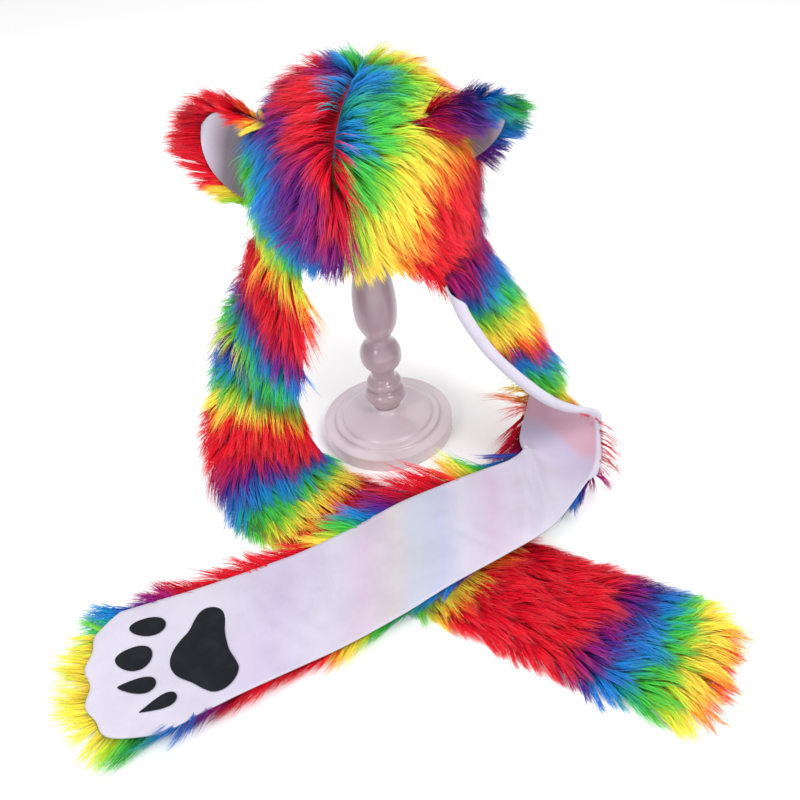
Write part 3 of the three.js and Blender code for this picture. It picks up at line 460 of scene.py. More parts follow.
def strands(bed, sizes, seed, spacing, clumped=(0.2, 0.65)):
    """Grows the pile on a bed of roots and gives ribbons. The strands of a lock follow one guide and draw
    together towards its tip. bed holds root, normal, flow, length, rise, sag, phase and area, and may hold
    drift, dark and lid; dark is painted shadow, which darkens strands towards their roots."""
    chance = np.random.default_rng(seed)
    count = len(bed["root"])
    few = chance.permutation(count)[: max(int(bed["area"] / spacing**2), 8)]
    tree = KDTree(len(few))
    for k, root in enumerate(bed["root"][few]):
        tree.insert(root, k)
    tree.balance()
    lock = np.array([tree.find(root)[1] for root in bed["root"]])
    lean = np.radians(chance.normal(0, LOCK_LEAN, len(few)))
    lift = chance.uniform(*LOCK_LIFT, len(few))
    long = chance.uniform(*LOCK_LENGTH, len(few))
    pull = chance.uniform(*clumped, len(few))
    tint = chance.normal(0, LOCK_TINT, len(few))
    curl = chance.normal(0, LOCK_CURL, len(few))
    light = chance.uniform(0, 1, len(few))

    guide = {key: bed[key][few] for key in ("root", "flow", "normal", "length", "rise")}
    guide["flow"] = turned_about(guide["flow"], guide["normal"], lean)
    own = {key: value[lock] for key, value in guide.items()}
    reach = own["length"] * long[lock] * chance.uniform(*OWN_LENGTH, count)
    rise = np.clip(own["rise"] * lift[lock] + chance.normal(0, OWN_RISE, count), LEAST_RISE, MOST_RISE)
    stray = chance.normal(0, 1, (count, 3)) * OWN_STRAY
    bent = np.cross(own["normal"], own["flow"]) * (reach * curl[lock])[:, None]
    apart = bed["root"] - own["root"]
    points = np.empty((count, len(STEPS), 3))
    for k, t in enumerate(STEPS):
        drawn = pull[lock] * t**1.3
        points[:, k] = (
            bed["root"] + path_of(own, reach, rise, bed["sag"], t) - apart * drawn[:, None]
            + stray * (reach * t)[:, None] + bent * t**2
        )
    points[..., 2] = np.maximum(points[..., 2], FLOOR_GAP)
    if "lid" in bed:
        points = bed["lid"](points)

    along = unit(points[:, -1] - points[:, 0])
    roll = chance.uniform(-OWN_ROLL, OWN_ROLL, count)
    side = unit(np.cross(along, turned_about(bed["normal"], along, roll)))
    width = sizes.strand_width * chance.uniform(*OWN_WIDTH, count)
    phase = bed["phase"] + tint[lock] + chance.normal(0, OWN_TINT, count)
    shade = (1 - OWN_SHADE) * light[lock] + OWN_SHADE * chance.uniform(0, 1, count)
    dark, drift = (bed.get(key, np.zeros(count)) for key in ("dark", "drift"))
    # Strands in painted shadow take the lowest shade.
    shade = np.where(dark > 0.5, 0, np.clip(shade, 0, 0.999))
    return dict(points=points, side=side, width=width, phase=phase, drift=drift, shade=shade, dark=dark)


def map_u(phase):
    return (phase % 1 + MAP_START) / MAP_PHASES


def ribbon_mesh(grown, net, net_phase):
    """One mesh of all ribbons, five triangles each, over the backing that they stand on. The bake map's U
    is the rainbow's phase, and its V has a quarter for each shade, running from root to tip."""
    points = grown["points"]
    count, steps = points.shape[:2]
    half = grown["side"][:, None] * (grown["width"][:, None] * TAPER[:-1] / 2)[..., None]
    pairs = np.stack([points[:, :-1] - half, points[:, :-1] + half], 2)
    verts = np.concatenate([pairs.reshape(count, -1, 3), points[:, -1:]], 1)
    first = (np.arange(count) * verts.shape[1])[:, None]
    quads = np.concatenate([first + (2 * k, 2 * k + 1, 2 * k + 3, 2 * k + 2) for k in range(steps - 2)])
    tips = first + (2 * steps - 4, 2 * steps - 3, 2 * steps - 2)
    rows, columns = net_phase.shape
    number = verts.shape[0] * verts.shape[1] + np.arange(net_phase.size).reshape(rows, columns)
    cells = np.stack([number[:-1, :-1], number[1:, :-1], number[1:, 1:], number[:-1, 1:]], -1)
    faces = [quads, tips, cells.reshape(-1, 4)]
    verts = np.vstack([verts.reshape(-1, 3), net.reshape(-1, 3)])

    step, beside = np.repeat(np.arange(steps), 2)[:-1], np.array([-MAP_EDGE, MAP_EDGE] * (steps - 1) + [0])
    u = map_u(grown["phase"])[:, None] + grown["drift"][:, None] * STEPS / MAP_PHASES
    shade = np.floor(grown["shade"] * SHADES) / SHADES
    # Painted shadow: where dark is set, the run along the map is shortened, so the strand keeps near its
    # dark root colour.
    run = ROOT_V + RUN_V * STEPS * (1 - FOLD_SHADOW_DEPTH * grown["dark"][:, None])
    at = np.stack([u[:, step] + beside, shade[:, None] + run[:, step] / SHADES], -1).reshape(-1, 2)
    place = np.arange(net_phase.size)
    base = map_u(net_phase.ravel()) + np.where(place % 2, BACKING_WAVE, -BACKING_WAVE)
    at = np.vstack([at, np.stack([base, np.where(place // columns % 2, *BACKING_V)], 1)])

    mesh = bpy.data.meshes.new("pile")
    mesh.vertices.add(len(verts))
    mesh.vertices.foreach_set("co", verts.ravel())
    loops = np.concatenate([part.ravel() for part in faces])
    sizes = np.concatenate([np.full(len(part), part.shape[1]) for part in faces])
    mesh.loops.add(len(loops))
    mesh.loops.foreach_set("vertex_index", loops)
    mesh.polygons.add(len(sizes))
    mesh.polygons.foreach_set("loop_start", np.r_[0, np.cumsum(sizes)[:-1]])
    mesh.polygons.foreach_set("use_smooth", np.ones(len(sizes), bool))
    mesh.update(calc_edges=True)
    mesh.uv_layers.new(name="OFBake").data.foreach_set("uv", np.clip(at, 0.001, 0.999)[loops].ravel())
    mesh.validate()
    obj = bpy.data.objects.new("pile", mesh)
    bpy.context.collection.objects.link(obj)
    return obj


# Materials

def linear(colour):
    return [c / 12.92 if c <= 0.04045 else ((c + 0.055) / 1.055) ** 2.4 for c in colour]


class Sheet:
    """A new material's nodes, and short words for adding to them."""

    def __init__(self, name):
        self.material = bpy.data.materials.new(name)
        self.material.use_nodes = True
        self.tree = self.material.node_tree

    def set(self, socket, value):
        if isinstance(value, bpy.types.NodeSocket):
            self.tree.links.new(value, socket)
        elif socket.type == "RGBA":
            socket.default_value = (*linear(value), 1)
        else:
            socket.default_value = value

    def add(self, kind, inputs=(), **settings):
        node = self.tree.nodes.new(kind)
        for key, value in settings.items():
            setattr(node, key, value)
        for key, value in dict(inputs).items():
            self.set(node.inputs[key], value)
        return node

    def math(self, operation, *values):
        return self.add("ShaderNodeMath", enumerate(values), operation=operation).outputs[0]

    def mix(self, share, first, second, blend="MIX"):
        inputs = {0: share, 6: first, 7: second}
        return self.add("ShaderNodeMix", inputs, data_type="RGBA", blend_type=blend).outputs[2]

    def smooth(self, *value_and_spans):
        """A value from one span to another, on a smooth step."""
        spans = enumerate(value_and_spans)
        return self.add("ShaderNodeMapRange", spans, interpolation_type="SMOOTHSTEP").outputs[0]

    def ramp(self, value, *stops):
        node = self.add("ShaderNodeValToRGB", {0: value})
        points = node.color_ramp.elements
        while len(points) < len(stops):
            points.new(0.5)
        for point, (at, colour) in zip(points, stops):
            point.position = at
            point.color = (*linear(colour), 1)
        return node.outputs[0]

    def noise(self, scale, detail):
        place = self.add("ShaderNodeTexCoord").outputs["Object"]
        return self.add("ShaderNodeTexNoise", {"Vector": place, "Scale": scale, "Detail": detail}).outputs[0]

    def mapped(self, uv_map):
        """U and V of one of the piece's maps."""
        at = self.add("ShaderNodeUVMap", uv_map=uv_map).outputs[0]
        return self.add("ShaderNodeSeparateXYZ", {0: at}).outputs[:2]

    def bump(self, height, strength, distance):
        inputs = {"Height": height, "Strength": strength, "Distance": distance}
        return self.add("ShaderNodeBump", inputs).outputs[0]

    def finish(self, inputs):
        for key, value in inputs.items():
            self.set(self.tree.nodes["Principled BSDF"].inputs[key], value)
        return self.material


RAINBOW = (
    (0.0, "red"), (0.04, "red"), (0.095, "orange"), (0.15, "yellow"), (0.24, "yellow"), (0.31, "lime"),
    (0.37, "green"), (0.44, "green"), (0.5, "teal"), (0.56, "blue"), (0.62, "blue"), (0.69, "indigo"),
    (0.76, "purple"), (0.86, "magenta"), (0.93, "crimson"), (1.0, "red"),
)
ROOT_SHADE_TONE, TIP_TONE = (0.05, 0.02, 0.04), (1.0, 1.0, 1.0)
SHADE_LEVEL, SHADE_STEP = 0.88, 0.085


def fur_material(settings):
    sheet = Sheet("rainbow_pile")
    u, v = sheet.mapped("OFBake")
    phase = sheet.math("FRACT", sheet.math("MULTIPLY_ADD", u, MAP_PHASES, 1 - MAP_START))
    run = sheet.math("MULTIPLY", v, SHADES)
    up = sheet.math("FRACT", run)
    dye = sheet.ramp(phase, *((stop, getattr(settings, name)) for stop, name in RAINBOW))
    # Painted shade deep in the pile: each strand darkens towards its root.
    deep = sheet.mix(sheet.smooth(up, 0.0, 0.5, settings.root_shade, 0.0), dye, ROOT_SHADE_TONE)
    tipped = sheet.mix(sheet.smooth(up, 0.5, 1.0, 0.0, settings.tip_light), deep, TIP_TONE)
    level = sheet.math("MULTIPLY_ADD", sheet.math("FLOOR", run), SHADE_STEP, SHADE_LEVEL)
    lit = sheet.add("ShaderNodeHueSaturation", {"Value": level, "Color": tipped}).outputs[0]
    return sheet.finish({"Base Color": lit, "Roughness": 0.55, "Specular IOR Level": 0.12})


def plush_material(name, settings, tint_and_shade=None, slant=0.0):
    """White plush. Stops, where given, tint it along its map's U, slanted by its V and not on a slanted
    one's
    hem: dye that shows through, and painted shade where the stops are dark."""
    sheet = Sheet(name)
    nap, soft = sheet.noise(900.0, 3.0), sheet.noise(24.0, 3.0)
    colour = sheet.mix(sheet.smooth(soft, 0.35, 0.7), settings.plush, settings.plush_shadow)
    if tint_and_shade:
        u, v = sheet.mapped("along")
        along = sheet.math("MULTIPLY_ADD", soft, 0.04, sheet.math("MULTIPLY_ADD", v, slant, u))
        clear = sheet.smooth(v, 0.8, 0.83, settings.bleed_and_shade, 0.0 if slant else settings.bleed_and_shade)
        colour = sheet.mix(clear, colour, sheet.ramp(along, *tint_and_shade), "MULTIPLY")
    return sheet.finish({
        "Base Color": colour, "Roughness": 0.9, "Specular IOR Level": 0.2, "Sheen Weight": 0.4,
        "Sheen Roughness": 0.5, "Normal": sheet.bump(nap, 0.5, 0.0008),
    })


def pad_material(settings):
    sheet = Sheet("pad_felt")
    nap, worn = sheet.noise(1400.0, 2.0), sheet.noise(60.0, 4.0)
    return sheet.finish({
        "Base Color": sheet.mix(sheet.smooth(worn, 0.4, 0.75), settings.pad, (0.12, 0.13, 0.15)),
        "Roughness": 0.85, "Specular IOR Level": 0.15, "Sheen Weight": 0.05,
        "Normal": sheet.bump(nap, 0.4, 0.0005),
    })


def paint_material(name, colour, roughness):
    sheet = Sheet(name)
    soft, fine = sheet.noise(9.0, 3.0), sheet.noise(160.0, 2.0)
    return sheet.finish({
        "Base Color": sheet.mix(sheet.smooth(soft, 0.35, 0.7), colour, [0.93 * c for c in colour]),
        "Roughness": sheet.math("MULTIPLY_ADD", soft, 0.12, roughness - 0.06),
        "Coat Weight": 0.7, "Coat Roughness": 0.1, "Normal": sheet.bump(fine, 0.08, 0.0006),
    })


# The hat stand

PROFILE_STEPS, TURNED_SIDES, WELD, CROWN_WELD = 5, 80, 0.02 * MM, 0.3 * MM


def smooth_profile(profile, radius, height):
    """A turning's profile as points of radius and height, rounded between its table's points."""
    rows = np.array(profile, float)
    line = read(rows, np.linspace(0, 1, (len(rows) - 1) * PROFILE_STEPS + 1))
    line[:, 0] = np.clip(line[:, 0], 0, rows[:, 0].max())
    line[:, 1] = np.clip(np.maximum.accumulate(line[:, 1]), 0, 1)
    return line * (radius, height)


def turning(line, bottom):
    line = np.vstack([(0, line[0, 1]), line, (0, line[-1, 1])])

    def place(x, y):
        radius, height = line[np.round((y + 1) / 2 * (len(line) - 1)).astype(int)].T
        turn = x * math.pi
        return np.stack([radius * np.cos(turn), radius * np.sin(turn), bottom + height], -1)
    obj = edited(grid_on(place, TURNED_SIDES, len(line) - 1), bpy.ops.mesh.remove_doubles, threshold=WELD)
    bpy.ops.object.shade_smooth_by_angle(angle=math.radians(40))
    return obj


# The linings

def hood_lining():
    def place(x, y):
        share = (y + 1) / 2
        point, _ = cloth(x * 180, share)
        crown = share > 0.999
        point[crown] = point[crown].mean(axis=0)
        return point
    return walled(edited(grid_on(place, 96, 32), bpy.ops.mesh.remove_doubles, threshold=CROWN_WELD))


ARM_TOP, LINING_TOP = 14 * MM, 5 * MM
HEM_RADIUS, HEM_SHARE, HEM_TURN, HEM_LEAST = 7.5 * MM, 0.18, math.radians(165), math.radians(10)

# Soft folds of the right arm's plush: their height and a line of runs and places aside, in metres.
FOLDS = (
    (5.5 * MM, ((0.235, 0.058), (0.276, 0.046), (0.312, 0.012), (0.344, -0.03), (0.356, -0.05))),
    (1.7 * MM, ((0.596, -0.045), (0.618, -0.01), (0.63, 0.03))), (1.4 * MM, ((0.64, 0.05), (0.65, 0.02))),
    (1.5 * MM, ((0.4, -0.05), (0.43, 0.01))), (1.4 * MM, ((0.505, 0.055), (0.485, 0.02))),
)
FOLD_GAP, FOLD_WIDTH = 9.5 * MM, 7.5 * MM


def soft_step(value, low, high):
    share = np.clip((value - low) / (high - low), 0, 1)
    return share * share * (3 - 2 * share)


def hem_at(run):
    """How far the plush of the right arm rolls round its front edge, from none to a whole hem."""
    return soft_step(run, -0.01, 0.02) * (1 - soft_step(run, 0.25, 0.285))


def creased(run, aside):
    """Height of the soft folds that lie along both sides of each crease of the right arm."""
    place, total = np.stack([run, aside], -1), 0
    for height, line in FOLDS:
        line, gap = np.array(line), np.full(run.shape, 1.0)
        for a, b in zip(line[:-1], line[1:]):
            share = np.clip((place - a) @ (b - a) / ((b - a) ** 2).sum(), 0, 1)
            gap = np.minimum(gap, np.linalg.norm(place - a - share[..., None] * (b - a), axis=-1))
        total = total + height * np.exp(-(((gap - FOLD_GAP) / FOLD_WIDTH) ** 2))
    return total


def arm_lining(arm, hemmed):
    """The plush of an arm. The last of its share across is the hem, where it has one."""
    def place(x, y):
        flat = np.minimum(y, 1 - 2 * HEM_SHARE) if hemmed else y
        across = 1 - 2 * (flat + 1) / (2 - 2 * HEM_SHARE if hemmed else 2)
        run = arm.paw((x + 1) / 2 * (arm.run + LINING_TOP) - LINING_TOP, across)
        aside = across * arm.at(run)["half"]
        puff = 0.9 * MM * np.sin(run / 0.031 + 2 * across) * np.cos(run / 0.047 + across * 3)
        off = -0.2 * MM + np.minimum(puff, 0) * (1 - across**2)
        if not hemmed:
            return arm.point(run, aside, off)
        rolled = np.clip((y - 1 + 2 * HEM_SHARE) / (2 * HEM_SHARE), 0, 1)
        roll = rolled * (HEM_LEAST + (HEM_TURN - HEM_LEAST) * hem_at(run))
        off = off - creased(run, aside) * (1 - across**6) + HEM_RADIUS * (1 - np.cos(roll))
        return arm.point(run, aside, off) - arm.at(run)["across"] * (HEM_RADIUS * np.sin(roll))[:, None]
    obj = grid_on(place, 220, 48)
    obj.data.uv_layers[0].name = "along"
    return walled(obj)


def ear_matrix(name):
    ear = EARS[name]
    low = read(RIM, np.array([abs(ear["angle"]) / 180.0]))[0, 0]
    share = math.asin((ear["rise"] - low) / (1 - low)) * 2 / math.pi
    root = HOOD_PLACE.inverted() @ Vector(cloth(np.array([float(ear["angle"])]), np.array([share]))[0][0])
    point, up = math.radians(ear["point"]), math.radians(ear["up"])
    along = Vector((math.cos(point) * math.cos(up), math.sin(point) * math.cos(up), math.sin(up)))
    back = (Vector((0, 1, 0)) - along * along.y).normalized()
    basis = Matrix((along.cross(back), along, back)).transposed().to_4x4()
    rolled = Matrix.Rotation(math.radians(ear["roll"]), 4, along)
    return HOOD_PLACE @ Matrix.Translation(root) @ rolled @ basis


def ear_point(share, across, grown, off):
    long, wide = EAR_LENGTH + grown, EAR_WIDTH / 2 + grown
    run = share * (long + EAR_ROOT) - EAR_ROOT
    end = np.where(run > 0, run / long, -run / EAR_NECK)
    half = wide * np.sqrt(np.maximum(1 - np.clip(end, 0, 1) ** EAR_POWER, 0))
    aside = across * half
    return np.stack([aside, run + 0 * aside, EAR_CUP * (1 - (aside / wide) ** 2) + off], -1)


def ear_start(matrix, across, off):
    """Share of an ear's length at which it comes off clear of the hood, for each place across it."""
    share = np.linspace(0, 0.9, 91)[:, None]
    local = placed(HOOD_PLACE.inverted(), placed(matrix, ear_point(share, across[None, :], 0, 0.0)))
    full = dome(np.clip(local[..., 2] / HOOD_HEIGHT, 0, 1), 1e-6)
    wide, deep = HOOD_WIDTH / 2 * full + off, HOOD_DEPTH / 2 * full + off
    clear = (local[..., 0] / wide) ** 2 + (local[..., 1] / deep) ** 2 > 1
    return np.minimum(np.where(~clear, share, 0).max(axis=0), 0.8)


def ear_lining(name):
    matrix = ear_matrix(name)

    def place(x, y):
        columns = np.linspace(-1, 1, 41)
        start = np.interp(y, columns, ear_start(matrix, columns, CUP_CLEAR))
        return placed(matrix, ear_point(start + (1 - start) * (x + 1) / 2, y, 0, 0))
    obj = grid_on(place, 40, 40)
    obj.data.uv_layers[0].name = "along"
    return walled(obj)


# The paw pads

MAIN_PAD, MAIN_PAD_BACK, MAIN_PAD_ACROSS, OUTLINE_POINTS = 95 * MM, 103 * MM, -9 * MM, 96
PAD_OUTLINE = np.array([
    (0.17, 0.5), (0.26, 0.43), (0.28, 0.31), (0.24, 0.15), (0.23, -0.06), (0.26, -0.22), (0.27, -0.33),
    (0.21, -0.43), (0.11, -0.49), (0.0, -0.48), (-0.09, -0.39), (-0.17, -0.28), (-0.27, -0.17),
    (-0.315, -0.05), (-0.305, 0.06), (-0.25, 0.16), (-0.17, 0.24), (-0.08, 0.31), (-0.01, 0.41),
    (0.07, 0.49),
])

# Each toe's place back from the paw's end and across, its length and width, slant in degrees and point.
TOES = (
    (0.64, 0.45, 0.36, 0.22, -24, 0.2), (0.46, 0.14, 0.36, 0.27, -25, 0.25),
    (0.45, -0.18, 0.35, 0.16, -22, 0.5), (0.6, -0.46, 0.34, 0.13, 3, 0.7),
)


def main_outline():
    share = np.linspace(0, 1, OUTLINE_POINTS + 1)[:-1]
    rows = np.vstack([PAD_OUTLINE[-3:], PAD_OUTLINE, PAD_OUTLINE[:3]])
    place = (3 + share * len(PAD_OUTLINE)) / (len(rows) - 1)
    return read(rows, place) * MAIN_PAD + (MAIN_PAD_BACK, MAIN_PAD_ACROSS)


def toe_outline(back, across, long, wide, slant, point):
    """An egg that narrows towards the end of the paw, the more the larger point is."""
    turn = np.linspace(0, 2 * math.pi, OUTLINE_POINTS + 1)[:-1]
    x, y = long / 2 * np.cos(turn), wide / 2 * np.sin(turn) * (1 + point * np.cos(turn))
    c, s = math.cos(math.radians(slant)), math.sin(math.radians(slant))
    return np.stack([(back + x * c - y * s) * MAIN_PAD, (across + x * s + y * c) * MAIN_PAD], 1)


def pad(arm, outline):
    """A patch sewn on the plush: a flattened ball drawn out to the outline, round at its edge."""
    nothing_selected()
    bpy.ops.mesh.primitive_uv_sphere_add(segments=72, ring_count=16, radius=1)
    obj = bpy.context.object
    ball = spots(obj)
    centre = outline.mean(axis=0)
    turn = (np.arctan2(ball[:, 1], ball[:, 0]) / (2 * math.pi)) % 1 * len(outline)
    first = np.floor(turn + 1e-6).astype(int)
    part = (turn - first)[:, None]
    edge = outline[first % len(outline)] * (1 - part) + outline[(first + 1) % len(outline)] * part
    reach = np.clip(np.hypot(ball[:, 0], ball[:, 1]), 0, 1)[:, None]
    flat = centre + (edge - centre) * reach
    laid(obj, arm.point(arm.run - flat[:, 0], flat[:, 1], -(1.1 + 0.8 * ball[:, 2]) * MM))
    edited(obj, bpy.ops.mesh.normals_make_consistent, inside=False)
    bpy.ops.object.shade_smooth()
    return obj


# The pile of each fur piece

def shares(rows, columns):
    return np.meshgrid(np.linspace(0, 1, rows), np.linspace(0, 1, columns), indexing="ij")


def scattered(skin, count, chance, rows, columns, thick):
    """Shares spread over a surface, thicker where thick says so, and the surface's area."""
    u, v = shares(rows + 1, columns + 1)
    net = skin(u, v)
    area = np.linalg.norm(np.cross(net[1:, :-1] - net[:-1, :-1], net[:-1, 1:] - net[:-1, :-1]), axis=-1)
    weight = area * thick(u[:-1, :-1] + 0.5 / rows, v[:-1, :-1] + 0.5 / columns)
    cell = chance.choice(weight.size, count, p=weight.ravel() / weight.sum())
    i, j = np.divmod(cell, columns)
    return (i + chance.random(count)) / rows, (j + chance.random(count)) / columns, area.sum()


def level(flow, normal):
    return unit(flow - normal * (flow * normal).sum(-1, keepdims=True))


def between(value, low, high):
    return (value > low) & (value < high)


def swirl(points, size, amount, seed):
    """Smooth drift over the surface, as an angle for each point."""
    chance = np.random.default_rng(seed)
    total = np.zeros(len(points))
    for k in range(5):
        wave = unit(chance.normal(0, 1, 3)) / (size * chance.uniform(0.7, 1.5))
        total += np.sin(points @ wave * 2 * math.pi + chance.uniform(0, 2 * math.pi))
    return total / 2 * amount


def grown_piece(bed, sizes, seed, net, net_phase, spacing=4.5 * MM, **more):
    """The pile of a bed, with its brushing, length and rise drifting over the surface."""
    turn = swirl(bed["root"], 0.06, math.radians(16), seed + 1)
    bed["flow"] = turned_about(bed["flow"], bed["normal"], turn)
    bed["length"] = bed["length"] * (1 + swirl(bed["root"], 0.035, 0.12, seed + 2))
    bed["rise"] = bed["rise"] + swirl(bed["root"], 0.03, 0.06, seed + 3)
    return ribbon_mesh(strands(bed, sizes, seed, spacing, **more), net, net_phase)


def dyed_at(bed):
    """Where the strands of a bed show their colour, part of the way along them."""
    lean = bed["flow"] + bed["normal"] * bed["rise"][:, None]
    return bed["root"] + lean * (bed["length"] * DYED_SHARE)[:, None]


# The hood's pile: how high its roots and its backing are over the cloth, how far up it goes, where strands
# show their dye, and for each half where it starts to lift, how much and how much less it leans aside.
HOOD_ROOTS, HOOD_BACKING, HOOD_TOP, DYED_SHARE = 2.2 * MM, 1.4 * MM, 0.998, 0.15
BRUSHED = {1: (0.45, 1.0, 0.0), -1: (0.65, 0.3, 0.4)}
WHORL, WHORL_TURN, WHORL_SIZE = (26.0, 0.62), 0.9, 18 * MM

# Degrees by which the left half's colours lie over the seam, or under nought the right half's.
SEAM = ((0, 0.15, 0.3, 0.45, 0.6, 0.7, 0.8, 0.9, 1), (3, 6, 7, 4, 1, -1, -4, -14, -22))


def hood_fur(side, sizes, count, seed):
    chance = np.random.default_rng(seed)

    def skin(u, v, lift=HOOD_ROOTS):
        return cloth(side * v * 180, u * HOOD_TOP, np.full(np.shape(u), lift))[0]
    u, v, area = scattered(skin, count, chance, 60, 90, lambda u, v: np.where(u < 0.07, 2.4, 1))
    angle, share = side * v * 180, u * HOOD_TOP
    root, normal = cloth(angle, share, np.full(count, HOOD_ROOTS))
    start, lift, less = BRUSHED[side]
    beside = np.exp(-((angle / 9) ** 2))
    lifted = np.clip((share - start) / 0.4, 0, 1) * np.exp(-((angle / 45) ** 2)) * lift
    aside = side * PARTING * (1 - 0.6 * beside * (1 - lifted)) * (1 - less * soft_step(share, 0.3, 0.6))
    aim = np.stack([aside, 0.5 * lifted, -1 + 1.1 * lifted], 1)
    flow = level(aim @ np.array(HOOD_PLACE.to_3x3()).T, normal)
    if side > 0:
        whorl = cloth(*np.array(WHORL)[:, None])[0][0]
        gap = np.linalg.norm(root - whorl, axis=1)
        flow = turned_about(flow, normal, WHORL_TURN * np.exp(-((gap / WHORL_SIZE) ** 2)))
    trimmed = 1 - 0.42 * (1 - soft_step(share, 0.03, 0.2)) * (1 - soft_step(np.abs(angle), 35, 55))
    behind = np.clip((share - 0.75) / 0.15, 0, 1) * np.clip((np.abs(angle) - 90) / 30, 0, 1)
    bed = dict(
        root=root, normal=normal, flow=flow, area=area, sag=0.1,
        length=sizes.pile_length * (1.1 - 0.3 * share) * trimmed,
        rise=0.27 + 0.12 * share**2 + 0.16 * beside + 0.4 * behind,
    )
    crossed = np.abs(angle) < side * np.interp(share, *SEAM) + chance.normal(0, 0.8, count)
    dyed = dyed_at(bed)
    bed["phase"] = np.where(crossed, hood_phase(-side, dyed), hood_phase(side, dyed))
    net = skin(*shares(40, 60), HOOD_BACKING)
    return grown_piece(bed, sizes, seed, net, hood_phase(side, net))


# Stretches of the right arm, as runs in metres: its bare outer edge, the fringe at its turn, where both
# edges hang and where the inner one fans out most, and where it starts and stops turning over.
BARE_EDGE, TURN_FRINGE, HANGING, FANNED = (0.3, 0.43), (0.23, 0.28), (0.11, 0.45), (0.14, 0.212)
TURNING, TURNED, OUTER_HANGS, BEHIND_HOOD = (0.17, 0.2), (0.255, 0.28), 0.42, 0.1
EDGE_BAND, BARE_BAND, HEM_BAND, OUTER_BAND = 0.72, -0.7, -0.84, -0.93

# How the arms' pile leans and fans: outwards at the edges and at the paw's end, in degrees, and its roots'
# and its backing's height over the plush.
EDGE_LEAN, PAW_LEAN, PAW_EDGE, PAW_FALL = math.radians(75), math.radians(70), 28 * MM, 30 * MM
FAN, HANGING_FAN, WIDEST_FAN = 50, 70, 105
ROOTS_OVER, BACKING_UNDER, FOLD_HEAP = 0.6 * MM, 0.3 * MM, 10 * MM


def right_edges(run, side, fringe):
    """Fringe of the right arm: full where the arm turns, thin under the turn's outer edge and at the hem."""
    inner = np.maximum(fringe, 1.5 * soft_step(run, 0.11, 0.16) * (1 - soft_step(run, 0.45, 0.5)))
    thinned = np.interp(run, (0.27, 0.3, 0.33, 0.425, 0.445), (0.7, 0.35, 0, 0, 1))
    outer = fringe * thinned * (1 - hem_at(run))
    outer = np.maximum(outer, np.interp(run, (0.225, 0.24, 0.26, 0.28), (0, 1, 1, 0)))
    return np.where(side > 0, inner, outer)


def left_edges(run, side, fringe):
    """Fringe of the left arm, fuller behind the hood."""
    outer = np.maximum(fringe, np.interp(run, (0, 0.06, 0.12, 0.16), (1.9, 1.8, 1.4, 0.8)))
    outer = outer * np.interp(run, (0.45, 0.52, 0.7, 0.75), (1, 0.7, 0.7, 1))
    inner = np.maximum(fringe, np.interp(run, (0, 0.08, 0.11, 0.25, 0.3), (0.85, 0.7, 0.5, 0.5, 0)))
    return np.where(side < 0, outer, inner)


def thickness(arm, run, across):
    """How thick an arm's pile is: more at its edges, next to none where it faces down or is in the hem."""
    edge = (np.abs(across) > EDGE_BAND) | (run > arm.run - PAW_EDGE)
    weight = np.where(edge, 1.7, np.where(arm.at(run)["out"][..., 2] < -0.5, 0.05, 1))
    if arm is LEFT:
        return weight
    weight = np.where((across < BARE_BAND) & between(run, *BARE_EDGE), 0.2, weight)
    weight = np.where((across < OUTER_BAND) & between(run, *TURN_FRINGE), 1.5, weight)
    in_hem = (across < HEM_BAND) & (across > OUTER_BAND * (run > TURN_FRINGE[0])) & (hem_at(run) > 0.3)
    return np.where(in_hem, 0.02, weight)


def fanned(arm, run, side):
    """Degrees by which the pile fans out at an arm's edges, most where the edge hangs."""
    if arm is LEFT:
        return np.where((run < BEHIND_HOOD) & (side < 0), HANGING_FAN, FAN)
    hanging = (run > OUTER_HANGS) & (side < 0) | between(run, *HANGING)
    most = np.where(hanging, HANGING_FAN, FAN)
    return np.where((side > 0) & between(run, *FANNED), WIDEST_FAN, most)


